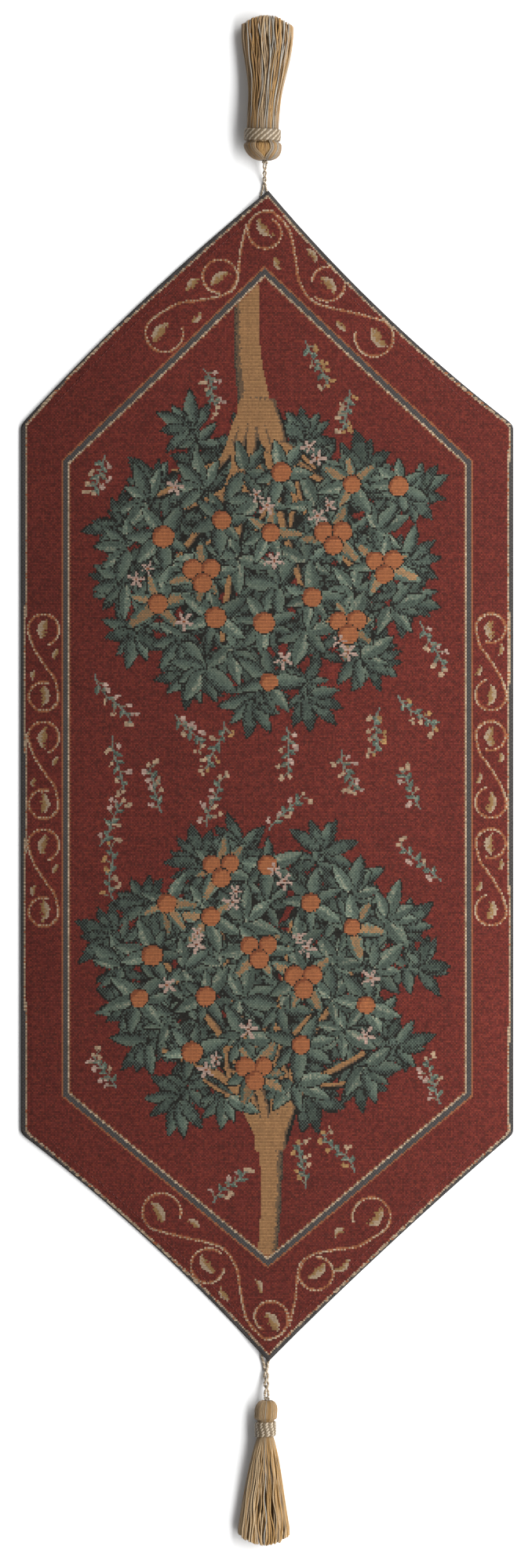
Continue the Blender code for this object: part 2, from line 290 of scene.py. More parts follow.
def tube_faces(strands, stations, sides):
    """Corner lists of the quads and end caps of many tubes, and a UV for each corner."""
    s, n, k = np.meshgrid(
        np.arange(strands), np.arange(stations - 1), np.arange(sides), indexing="ij"
    )
    after = (k + 1) % sides
    first = (s * stations + n) * sides
    quads = np.stack([first + k, first + after, first + sides + after, first + sides + k], -1)
    band, used = 1.0 / strands, 0.9 / strands
    u0, u1 = s * band + k / sides * used, s * band + (k + 1) / sides * used
    v0, v1 = 0.02 + 0.96 * n / (stations - 1), 0.02 + 0.96 * (n + 1) / (stations - 1)
    corners = ((u0, v0), (u1, v0), (u1, v1), (u0, v1))
    uv = np.stack([np.stack(corner, -1) for corner in corners], -2).reshape(-1, 2)
    faces = quads.reshape(-1, 4).tolist()
    caps, cap_uv = [], []
    for strand in range(strands):
        begin = strand * stations * sides
        end = begin + (stations - 1) * sides
        caps += [list(range(begin, begin + sides))[::-1], list(range(end, end + sides))]
        for v in (0.01, 0.99):
            cap_uv.append(np.tile([(strand + 0.5) * band, v], (sides, 1)))
    return faces + caps, np.concatenate([uv] + cap_uv)


def joined(*bundles):
    """Several (points, faces, uv, colours) as one, their UVs side by side."""
    points, faces, uvs, colours, count = [], [], [], [], 0
    for i, (p, f, u, c) in enumerate(bundles):
        points.append(p)
        faces += [[v + count for v in face] for face in f]
        placed = u.copy()
        placed[:, 0] = (placed[:, 0] + i) / len(bundles)
        uvs.append(placed)
        colours.append(c)
        count += len(p)
    return np.concatenate(points), faces, np.concatenate(uvs), np.concatenate(colours)


# ---------------------------------------------------------------- materials


class Nodes:
    """Short names for building a material's nodes."""

    def __init__(self, name):
        self.material = bpy.data.materials.new(name)
        self.material.use_nodes = True
        self.tree = self.material.node_tree
        self.shader = self.tree.nodes["Principled BSDF"]

    def add(self, kind, **settings):
        node = self.tree.nodes.new(kind)
        for key, value in settings.items():
            setattr(node, key, value)
        return node

    def link(self, source, target):
        self.tree.links.new(source, target)

    def math(self, operation, *values):
        node = self.add("ShaderNodeMath", operation=operation)
        for socket, value in zip(node.inputs, values):
            if isinstance(value, (int, float)):
                socket.default_value = value
            else:
                self.link(value, socket)
        return node.outputs[0]

    def noise(self, vector, scale, detail, stretch=None):
        if stretch is not None:
            mapping = self.add("ShaderNodeMapping")
            set_inputs(mapping, {"Scale": stretch})
            self.link(vector, mapping.inputs["Vector"])
            vector = mapping.outputs[0]
        node = self.add("ShaderNodeTexNoise")
        set_inputs(node, {"Scale": scale, "Detail": detail})
        self.link(vector, node.inputs["Vector"])
        return node.outputs["Fac"]

    def scaled(self, colour, factor):
        node = self.add("ShaderNodeVectorMath", operation="SCALE")
        self.link(colour, node.inputs[0])
        self.link(factor, node.inputs["Scale"])
        return node.outputs[0]

    def bump(self, height, distance, strength):
        node = self.add("ShaderNodeBump")
        set_inputs(node, {"Distance": distance, "Strength": strength})
        self.link(height, node.inputs["Height"])
        self.link(node.outputs[0], self.shader.inputs["Normal"])

    def ramp(self, value, low, high):
        node = self.add("ShaderNodeMapRange")
        set_inputs(node, {"To Min": low, "To Max": high})
        self.link(value, node.inputs["Value"])
        return node.outputs[0]

    def finish(self, light, fibre, rough, sheen, sheen_roughness, specular):
        """The yarns' own colours scaled by a pattern that each material gives, with gloss that
        follows the fibres.
        """
        colour = self.add("ShaderNodeAttribute", attribute_name="yarn").outputs["Color"]
        self.link(self.scaled(colour, light), self.shader.inputs["Base Color"])
        self.link(self.ramp(fibre, *rough), self.shader.inputs["Roughness"])
        gloss = {
            "Sheen Weight": sheen,
            "Sheen Roughness": sheen_roughness,
            "Specular IOR Level": specular,
        }
        set_inputs(self.shader, gloss)
        return self.material


def cloth_material(name, contrast):
    """A weave with a row for each pick: rounded weft yarns that dip under each warp end."""
    n = Nodes(name)
    place = n.add("ShaderNodeTexCoord").outputs["Object"]
    split = n.add("ShaderNodeSeparateXYZ")
    n.link(place, split.inputs[0])
    up = n.math("DIVIDE", n.math("SUBTRACT", split.outputs["Y"], TIP_BOTTOM), PICK)
    along = n.math("DIVIDE", split.outputs["X"], END)
    off_pick, off_end = (
        n.math("SUBTRACT", n.math("MULTIPLY", n.math("FRACT", cell), 2.0), 1.0)
        for cell in (up, along)
    )
    hump = n.math("SUBTRACT", 1.0, n.math("MULTIPLY", off_pick, off_pick))
    dip = n.math("SUBTRACT", 1.0, n.math("POWER", n.math("ABSOLUTE", off_end), 3.0))
    fibre = n.noise(place, 1.0, 3.0, (900.0, 4200.0, 900.0))
    broad = n.noise(place, 38.0, 3.0)
    # Painted shading: each pick is lighter along its crown and shaded where it rounds off and dips
    # under a warp end, by contrast; the fibre and broad noise vary the tone.
    yarn = n.math("ADD", n.math("MULTIPLY", hump, 0.75), n.math("MULTIPLY", dip, 0.25))
    light = n.ramp(yarn, 1.0 - contrast, 1.0 + 0.45 * contrast)
    light = n.math("MULTIPLY", light, n.ramp(fibre, 0.72, 1.28))
    light = n.math("MULTIPLY", light, n.ramp(broad, 0.9, 1.1))
    n.bump(n.math("ADD", yarn, n.math("MULTIPLY", fibre, 0.5)), 0.25 * MM, 0.8)
    return n.finish(light, fibre, (0.82, 0.98), 0.04, 0.5, 0.1)


def yarn_material(name, roughness, sheen):
    """Spun yarn: the colour of its strand, with fine fibres along it."""
    n = Nodes(name)
    place = n.add("ShaderNodeTexCoord").outputs["Object"]
    fibre = n.noise(place, 1.0, 3.0, (5200.0, 1300.0, 5200.0))
    patch = n.noise(place, 160.0, 2.0)
    light = n.math("MULTIPLY", n.ramp(fibre, 0.78, 1.22), n.ramp(patch, 0.88, 1.12))
    n.bump(fibre, 0.12 * MM, 0.7)
    return n.finish(light, fibre, (roughness - 0.1, roughness + 0.1), sheen, 0.4, 0.3)


# ---------------------------------------------------------------- the panel's outline


def sides_of_panel():
    """The six sides, anticlockwise from the top tip: start, end and bow."""
    half = PANEL_WIDTH / 2
    top, bottom = (TIP_OFF_CENTRE, TIP_TOP), (TIP_OFF_CENTRE, TIP_BOTTOM)
    top_left, bottom_left = (-half, SHOULDER_TOP), (-half, SHOULDER_BOTTOM)
    bottom_right, top_right = (half, SHOULDER_BOTTOM), (half, SHOULDER_TOP)
    return [
        (top, top_left, BOW_TOP_LEFT),
        (top_left, bottom_left, 0.0),
        (bottom_left, bottom, BOW_BOTTOM_LEFT),
        (bottom, bottom_right, BOW_BOTTOM_RIGHT),
        (bottom_right, top_right, 0.0),
        (top_right, top, BOW_TOP_RIGHT),
    ]


SIDES = sides_of_panel()


def corner_turns():
    """tan(half the turn) at the start of each side, for mitring."""
    turns = []
    for k, (start, end, _) in enumerate(SIDES):
        before = np.subtract(SIDES[k - 1][1], SIDES[k - 1][0])
        after = np.subtract(end, start)
        cross = before[0] * after[1] - before[1] * after[0]
        turn = math.atan2(cross, float(np.dot(before, after)))
        turns.append(math.tan(turn / 2))
    return turns


TURNS = corner_turns()


def on_side(k, t, inwards=0.0):
    """Points at fractions t of side k, moved inwards with mitred ends."""
    (start, end, bow), t = SIDES[k], np.asarray(t, float)
    start, along = np.array(start), np.subtract(end, start)
    length = np.linalg.norm(along)
    outward = np.array([along[1], -along[0]]) / length
    inwards = np.broadcast_to(inwards, t.shape)
    first = inwards * TURNS[k] / length
    last = inwards * TURNS[(k + 1) % 6] / length
    t = first + t * (1 - first - last)
    bulge = bow * 4 * t * (1 - t) - inwards
    return start + along * t[:, None] + outward * bulge[:, None]


def distance_inside(x, y, sides):
    """Distance inwards from the nearest of some bowed sides, which run anticlockwise."""
    nearest = np.full(np.broadcast_shapes(x.shape, y.shape), FAR)
    for (ax, ay), (bx, by), bow in sides:
        length = math.hypot(bx - ax, by - ay)
        inward = ((bx - ax) * (y - ay) - (by - ay) * (x - ax)) / length
        t = np.clip(((bx - ax) * (x - ax) + (by - ay) * (y - ay)) / length**2, 0, 1)
        nearest = np.minimum(nearest, inward + bow * 4 * t * (1 - t))
    return nearest


def face_height(x, y):
    """Height of the cloth's upper side: easy waves, lower at the edges, lifted at the tips."""
    x, y = np.asarray(x, float), np.asarray(y, float)
    waves = (
        0.30 * np.sin(x * 31 + y * 17 + 0.6)
        + 0.28 * np.sin(-x * 23 + y * 29 + 2.1)
        + 0.22 * np.sin(x * 57 - y * 11 + 4.0)
        + 0.80
    )
    inside = distance_inside(x, y, SIDES)
    height = FACE_TOP + waves * MM * smooth(inside / (30 * MM))
    height = height - EDGE_DROP * (1 - smooth(inside / (9 * MM)))
    for tip in (TIP_TOP, TIP_BOTTOM):
        reach = np.hypot(x - TIP_OFF_CENTRE, y - tip)
        height = height + (TIP_LIFT + EDGE_DROP) * np.clip(1 - reach / (32 * MM), 0, 1)
    return height


# ---------------------------------------------------------------- the loom

# What each weave shows: its light yarn, its dark yarn, and how they cross.
WEAVES = {
    "ground": ((120, 52, 45), (84, 34, 29), "rib"),
    "slate": ((82, 77, 75), (62, 59, 58), "twill"),
    "cream": ((188, 166, 140), (150, 126, 102), "speck"),
    "orange": ((156, 98, 66), (128, 78, 52), "speck"),
    "bark": ((156, 116, 78), (128, 94, 63), "pick"),
    "bark_shade": ((118, 92, 68), (84, 68, 54), "stroke"),
    "bark_edge": ((88, 76, 62), (52, 48, 42), "twill"),
    "night": ((46, 44, 39), (26, 25, 22), "speck"),
    "leaf_dark": ((72, 81, 74), (32, 32, 29), "twill"),
    "leaf_mid": ((90, 102, 90), (58, 67, 61), "hatch"),
    "leaf_light": ((116, 126, 110), (80, 93, 82), "hatch"),
    "leaf_pale": ((142, 142, 122), (100, 108, 94), "hatch"),
    "leaf_tan": ((156, 116, 80), (112, 98, 76), "hatch"),
    "fruit": ((164, 101, 64), (134, 82, 54), "pick"),
    "fruit_dark": ((140, 80, 50), (104, 60, 42), "pick"),
    "blossom": ((180, 154, 140), (150, 124, 112), "pick"),
    "flower": ((182, 158, 130), (148, 120, 96), "speck"),
    "flower_gold": ((172, 136, 90), (140, 104, 66), "speck"),
    "sprig_leaf": ((118, 124, 112), (84, 92, 86), "speck"),
    "sprig_stem": ((134, 122, 102), (98, 88, 74), "speck"),
}
WEAVE_NAMES = list(WEAVES)
CROSSINGS = ("rib", "pick", "stroke", "twill", "speck", "hatch")
STRIPE = 1.9 * MM


class Loom:
    """A picture woven on a grid of cells. Each cell holds a weave and a tone."""

    def __init__(self, columns, rows, x0, y0, seed):
        self.columns, self.rows, self.x0, self.y0 = columns, rows, x0, y0
        self.x = x0 + (np.arange(columns) + 0.5) * END
        self.y = y0 + (np.arange(rows) + 0.5) * PICK
        self.kind = np.zeros((rows, columns), np.int16)
        self.tone = np.zeros((rows, columns))
        self.random = np.random.default_rng(seed)
        self.grain = self.random.random((rows, columns))

    def window(self, low_x, high_x, low_y, high_y):
        """The part of the grid round a shape, and its cells' centres."""
        i0 = max(int((low_x - self.x0) / END) - 1, 0)
        i1 = min(int((high_x - self.x0) / END) + 2, self.columns)
        j0 = max(int((low_y - self.y0) / PICK) - 1, 0)
        j1 = min(int((high_y - self.y0) / PICK) + 2, self.rows)
        part = (slice(j0, max(j1, j0)), slice(i0, max(i1, i0)))
        return part, self.x[part[1]][None, :], self.y[part[0]][:, None]

    def paint(self, part, mask, weave, tone=0.0):
        self.kind[part][mask] = WEAVE_NAMES.index(weave)
        self.tone[part][mask] = np.broadcast_to(tone, mask.shape)[mask]

    def round_of(self, x, y, reach):
        """The cells within reach of a place, and how far each lies from it across and up."""
        part, gx, gy = self.window(x - reach, x + reach, y - reach, y + reach)
        return part, gx - x, gy - y

    def turned_at(self, x, y, angle, reach, length, width):
        """The same, measured along angle in lengths and across it in widths."""
        part, dx, dy = self.round_of(x, y, reach)
        c, s = math.cos(angle), math.sin(angle)
        return part, (dx * c + dy * s) / length, (-dx * s + dy * c) / width

    def beside(self, points, radii, margin):
        """Cells near a line of points: for each, its distance from the nearest stretch in
        radii, its offset to the right of it, and how far along the line that is."""
        points = np.asarray(points, float)
        (lx, ly), (hx, hy) = points.min(0) - margin, points.max(0) + margin
        part, gx, gy = self.window(lx, hx, ly, hy)
        shape = np.broadcast_shapes(gx.shape, gy.shape)
        share, offset, run = np.full(shape, FAR), np.zeros(shape), np.zeros(shape)
        start = 0.0
        for a, b, ra, rb in zip(points, points[1:], radii, radii[1:]):
            d = b - a
            length = max(float(np.hypot(*d)), 1e-9)
            t = np.clip(((gx - a[0]) * d[0] + (gy - a[1]) * d[1]) / length**2, 0, 1)
            away = np.hypot(gx - a[0] - t * d[0], gy - a[1] - t * d[1]) / (ra + (rb - ra) * t)
            signed = ((gx - a[0]) * d[1] - (gy - a[1]) * d[0]) / length
            nearer = away < share
            share = np.where(nearer, away, share)
            offset = np.where(nearer, signed, offset)
            run = np.where(nearer, start + t * length, run)
            start += length
        return part, share, offset, run

    def disc(self, x, y, radius, weave, tone=0.0):
        part, dx, dy = self.round_of(x, y, radius)
        self.paint(part, np.hypot(dx, dy) < radius, weave, tone)

    def limb(self, points, radii, weave, shade=None, edge=None, side=1):
        """A tapering branch along points, shaded on one side of its run."""
        part, share, offset, _ = self.beside(points, radii, max(radii) + 2 * MM)
        across = side * np.sign(offset) * share
        grain = self.grain[part]
        self.paint(part, share < 1, weave, 0.05 * grain)
        for darker, limit, uneven in ((shade, 0.42, 0.25), (edge, 0.74, 0.2)):
            if darker:
                self.paint(part, (share < 1) & (across > limit + uneven * grain), darker)

    def leaf(self, x, y, angle, length, width, style, outlined):
        """A leaf from its stem end (x, y), widest near the stem and pointed at the tip."""
        width = width / 2
        part, u, v = self.turned_at(x, y, angle, length + 2 * MM, length, width)
        bent = v + 0.45 * u * (1 - u)
        inner = np.clip(u, 0, 1)
        half = 2.65 * inner**0.55 * (1 - inner) ** 0.9
        grain = self.grain[part]
        if outlined:
            around = (u > -0.03) & (u < 1.03) & (np.abs(bent) < half + outlined * MM / width)
            self.paint(part, around & (grain > 0.3), "night")
        inside = (u > 0) & (u < 1) & (np.abs(bent) < half)
        ragged = 0.5 * (grain - 0.5)
        tone = 0.05 * self.random.standard_normal()
        everywhere = u > 0
        streak = np.abs(bent - 0.15 * half) < (0.75 - 0.55 * inner) + 0.7 * ragged
        vein = (np.abs(bent - 0.4 * half) < 0.1 + ragged) & (u < 0.66) & (grain > 0.4)
        heart = (u < 0.66) & (np.abs(bent + 0.1) < 0.55 * half + ragged)
        layers = {
            "light": (
                (everywhere, "leaf_light", tone),
                (bent < -0.05 * half + 0.4 * ragged, "leaf_mid", tone),
                (vein, "leaf_pale", tone),
            ),
            "tan": (
                (everywhere, "leaf_light", tone),
                (bent < -0.45 * half + ragged, "leaf_mid", tone),
                (streak & (u < 0.86), "leaf_tan", tone),
            ),
            "mid": (
                (everywhere, "leaf_mid", 0.05 + tone),
                ((bent > 0.25 * half + ragged) & (u < 0.8), "leaf_light", tone - 0.08),
                (bent < -0.5 * half + ragged, "leaf_dark", 0.0),
            ),
            "dark": ((everywhere, "leaf_dark", tone), (heart, "leaf_mid", tone - 0.05)),
        }
        for mask, weave, shade in layers[style]:
            self.paint(part, inside & mask, weave, shade)

    def stripe(self, points):
        """A two-tone line like embroidery: broken cream dashes over an orange one."""
        part, share, offset, run = self.beside(points, np.ones(len(points)), STRIPE + 2 * MM)
        inside = share < STRIPE / 2
        uneven = self.grain[part] - 0.5
        self.paint(part, inside, "orange", 0.08 * uneven)
        dashes = np.sin(2 * np.pi * run / (2.6 * MM)) + 0.7 * np.sin(130 * run) > -0.25
        self.paint(part, inside & dashes & (offset > -0.10 * STRIPE), "cream", 0.12 * uneven)

    def colours(self):
        """Linear colours of all the cells: each weave's two yarns as they cross."""
        light, dark = (np.array([WEAVES[w][n] for w in WEAVE_NAMES], float) for n in (0, 1))
        crossing = np.array([CROSSINGS.index(WEAVES[w][2]) for w in WEAVE_NAMES])
        shape = (self.rows, self.columns)
        j, i = np.mgrid[0 : self.rows, 0 : self.columns]
        grain = self.grain
        stroke = self.random.random((self.rows // 3 + 2, self.columns))[j // 3, i]
        brick = ((i + 3 * (j // 2)) % 6 == 0) & (j % 2 == 0)
        dash = (self.random.random((self.rows, self.columns // 3 + 2)) > 0.62)[j, i // 3]
        checker = (i + j) % 2 == 0
        shares = np.stack([
            np.where(checker, 0.66, 0.36) + 0.50 * (grain - 0.5) + 0.20 * brick - 0.24 * dash,
            0.28 + 0.44 * (j % 2) + 0.40 * (grain - 0.5),
            0.15 + 0.7 * stroke,
            np.where(checker, 0.9, 0.1) + 0.2 * (grain - 0.5),
            0.2 + 0.6 * grain,
            0.30 + 0.42 * checker + 0.70 * (grain - 0.45),
        ])
        share = np.take_along_axis(shares, crossing[self.kind][None], 0)[0]
        rgb = dark[self.kind]
        rgb = rgb + (light[self.kind] - rgb) * np.clip(share, 0, 1)[..., None]
        # Flecks of the other wefts show through the ground.
        fleck = self.random.random(shape)
        ground = self.kind == 0
        for chosen, other, amount in (
            (fleck < 0.20, (134, 60, 42), 0.36), (fleck > 0.80, (60, 36, 30), 0.34),
        ):
            here = chosen & ground
            rgb[here] += amount * (np.array(other, float) - rgb[here])
        streaks = 1 + 0.014 * self.random.standard_normal((self.rows, 1))
        streaks = streaks + 0.012 * self.random.standard_normal((1, self.columns))
        uneven = 1 + 0.05 * (self.random.random(shape) - 0.5)
        rgb = rgb * (1 + self.tone[..., None]) * streaks[..., None] * uneven[..., None]
        return finish_of(np.clip(rgb, 0, 255))


def curve_through(points, steps=10):
    """A Catmull-Rom curve through points."""
    p = np.asarray(points, float)
    p = np.concatenate([[2 * p[0] - p[1]], p, [2 * p[-1] - p[-2]]])
    out = []
    for a, b, c, d in zip(p, p[1:], p[2:], p[3:]):
        for t in np.arange(steps) / steps:
            square, cube = (2 * a - 5 * b + 4 * c - d) * t**2, (3 * b - a - 3 * c + d) * t**3
            out.append(0.5 * (2 * b + (c - a) * t + square + cube))
    out.append(p[-2])
    return np.array(out)


def in_mm(*points):
    return [(x * MM, y * MM) for x, y in points]


def spiral(x, y, radius, start, turn, shrink=1.0):
    """An arc about (x, y), in mm, from angle start through turn, drawing in as it goes."""
    t = np.linspace(0, 1, 36)
    angle = np.radians(start + turn * t)
    r = radius * MM * (1 + (shrink - 1) * t)
    return np.stack([x * MM + r * np.cos(angle), y * MM + r * np.sin(angle)], 1)


def bud(loom, x, y, angle, length, flip):
    """A crescent leaf bud with a pale back and an orange shadow."""
    length = 1.2 * length
    part, u, v = loom.turned_at(x, y, angle, length, length, 0.38 * length)
    u, v = u + 0.5, flip * v
    inner = np.clip(u, 0, 1)
    back = 3.2 * inner * (1 - inner) - 0.12
    low = back - (4 * inner * (1 - inner)) ** 0.7 * (0.55 + 1.25 * inner * (1 - 0.6 * inner))
    ragged = 0.45 * (loom.grain[part] - 0.5)
    inside = (u > 0) & (u < 1) & (v < back + 0.3 * ragged) & (v > low + ragged)
    loom.paint(part, inside, "flower_gold", -0.12)
    loom.paint(part, inside & (v > low + 0.5 * (back - low) + ragged), "cream", -0.06)


def ornament(loom, lines, buds, centre_x, centre_y):
    """Stripes and buds, and the same again turned half round, about twice the given centre."""
    for line in lines:
        loom.stripe(line)
    for x, y, angle, length, flip in buds:
        bud(loom, x * MM, y * MM, angle, length * MM, flip)
    for line in lines:
        loom.stripe(np.array([centre_x, centre_y]) * MM - line)
    for x, y, angle, length, flip in buds:
        x, y = (centre_x - x) * MM, (centre_y - y) * MM
        bud(loom, x, y, angle + math.pi, length * MM, flip)


def scrolls(loom):
    """Running scrolls in the border: a line of spirals at each point, three S shapes a side."""
    left = spiral(-75, -307, 13.5, -15, 255)
    lead = in_mm(
        (-62, -324), (-44, -328), (-31, -333), (-22, -346), (-18.5, -366), (-14, -384), (-3, -396.5)
    )
    right = spiral(74, -310, 13.5, 195, -262)
    rise = in_mm((15.5, -387), (20, -368), (22, -350), (30, -338), (48, -333.5), (64, -331))
    lines = (
        np.concatenate([left, curve_through([left[-1], *lead])[1:]]),
        spiral(1.5, -382, 15.0, -105, 345, 0.62),
        spiral(-42, -345.5, 13.0, 50, 300, 0.86),
        curve_through([*rise, right[-1]]),
        right,
        spiral(35, -350, 13.0, 130, 320, 0.86),
    )
    buds = (
        (-78, -306, -0.9, 15, 1), (-43, -344, -1.0, 14, -1), (3, -384, -0.8, 14, 1),
        (35, -349, 0.6, 14, -1), (77, -311, 0.8, 15, -1), (-52, -315, -0.6, 9, 1),
        (-31, -365, -1.1, 10, -1), (-6, -359, -1.1, 9, 1), (54, -345, 0.7, 11, -1),
        (51, -321, 0.8, 9, 1),
    )
    ornament(loom, lines, buds, 1.0, 8.0)
    x = -159.0
    for middle in (84, 7.5, -69):
        upper = spiral(x, middle + 23, 11.0, -70, 250)
        lower = spiral(x, middle - 24, 11.0, 0, -290, 0.9)
        bends = in_mm((x - 7, middle + 11), (x + 1, middle - 2), (x + 8, middle - 12))
        diagonal = curve_through([upper[-1], *bends, lower[0]])
        buds = (
            (x, middle + 23, 1.5, 13, 1), (x + 0.5, middle - 24, 1.5, 13, -1),
            (x + 8.5, middle + 6, 1.2, 7, 1), (x - 7, middle - 9, 1.4, 7, 1),
        )
        ornament(loom, [np.concatenate([upper, diagonal[1:], lower[1:]])], buds, 0.0, 15.0)


def rosette(loom, x, y, facing, spread, count, size, styles, outlined):
    """Leaves round a point, fanned about facing."""
    rng = loom.random
    for n in range(count):
        angle = facing + ((n + 0.5) / count - 0.5) * spread + rng.normal(0, 0.12)
        length = size * rng.uniform(0.75, 1.15)
        stem_x, stem_y = x + 1.4 * MM * math.cos(angle), y + 1.4 * MM * math.sin(angle)
        width = length * rng.uniform(0.34, 0.44)
        style = styles[rng.integers(len(styles))]
        loom.leaf(stem_x, stem_y, angle, length, width, style, outlined)


def fruit(loom, x, y, radius):
    part, dx, dy = loom.round_of(x, y, radius)
    uneven = MM * (loom.grain[part] - 0.5)
    away = np.hypot(dx, dy) + 0.7 * uneven
    loom.paint(part, away < radius + 0.5 * MM, "night")
    loom.paint(part, away < radius, "fruit", 0.03)
    shadow = np.hypot(dx - 1.6 * MM, dy + 1.8 * MM) + 1.6 * uneven > radius
    loom.paint(part, (away < radius) & shadow, "fruit_dark")


def blossom(loom, x, y, size):
    """Five thin petals of short pale floats, with gaps of darkness between them."""
    rng = loom.random
    turn = rng.uniform(0, 2 * math.pi)
    for n in range(5):
        length = size * rng.uniform(0.8, 1.1)
        part, u, v = loom.turned_at(x, y, turn + n * 2 * math.pi / 5, length, length, 0.24 * size)
        grain = loom.grain[part]
        petal = (u > 0.02) & (u < 1) & (np.abs(v) < 0.4 + 0.9 * u * (1.2 - u)) & (grain > 0.1)
        loom.paint(part, petal, "blossom", 0.08 * (grain - 0.5))
    loom.disc(x, y, 0.9 * MM, "fruit_dark")


def scattered(rng, canopy, spacing, reach_most, lobes):
    """Places at least spacing apart in a lobed oval, each with its bearing and reach."""
    (cx, cy), (rx, ry) = canopy
    found = []
    for _ in range(2600):
        a, r = rng.uniform(-math.pi, math.pi), math.sqrt(rng.uniform(0, 1))
        x, y = cx + rx * r * math.cos(a), cy + ry * r * math.sin(a)
        reach = r / (0.93 + 0.07 * math.sin(5 * a + lobes) + 0.05 * math.sin(9 * a + 2 * lobes))
        if reach < reach_most and all(math.hypot(x - p[0], y - p[1]) > spacing for p in found):
            found.append((x, y, a, reach))
    return found


def limbs_of(rng, fork, fork_width, canopy, up):
    """Six wavy limbs fanned out from the fork, each with two side branches: lines and radii."""
    (cx, _), (rx, ry) = canopy
    fx, fy = fork
    limbs = []
    for n in range(6):
        share = (n - 2.5) / 2.5
        reach_x = rx * (0.84 - 0.22 * share**2)
        tip_x = cx + reach_x * math.sin(share * 1.45) + rng.normal(0, 4 * MM)
        rise = ry * (0.10 + 1.40 * math.cos(share * 1.25)) * rng.uniform(0.85, 1.0)
        bend = (fx + 0.40 * (tip_x - fx), fy + up * abs(rise) * (0.34 + 0.22 * abs(share)))
        first = (fx + share * fork_width * 0.36, fy - up * 14 * MM)
        crotch = (fx + share * fork_width * 0.52, fy)
        line = curve_through([first, crotch, bend, (tip_x, fy + up * rise)], 12)
        sway = np.sin(np.linspace(0, 11, len(line)) + n) * np.linspace(0, 1, len(line))
        line[:, 0] += 1.8 * MM * sway
        radii = np.linspace(4.6 * MM, 1.9 * MM, len(line)) * (1.0 - 0.10 * abs(share))
        limbs.append((line, radii))
        for start, lean in ((0.50, 1), (0.66, -1)):
            k = int(start * len(line))
            d = line[k] - line[k - 1]
            angle = math.atan2(d[1], d[0]) + lean * rng.uniform(0.5, 0.8)
            away = rng.uniform(26, 40) * MM * np.array([math.cos(angle), math.sin(angle)])
            middle = line[k] + away / 2 + rng.normal(0, 2.0 * MM, 2)
            branch = curve_through([line[k], middle, line[k] + away], 8)
            limbs.append((branch, np.linspace(radii[k] * 0.8, 1.1 * MM, 17)))
    return limbs


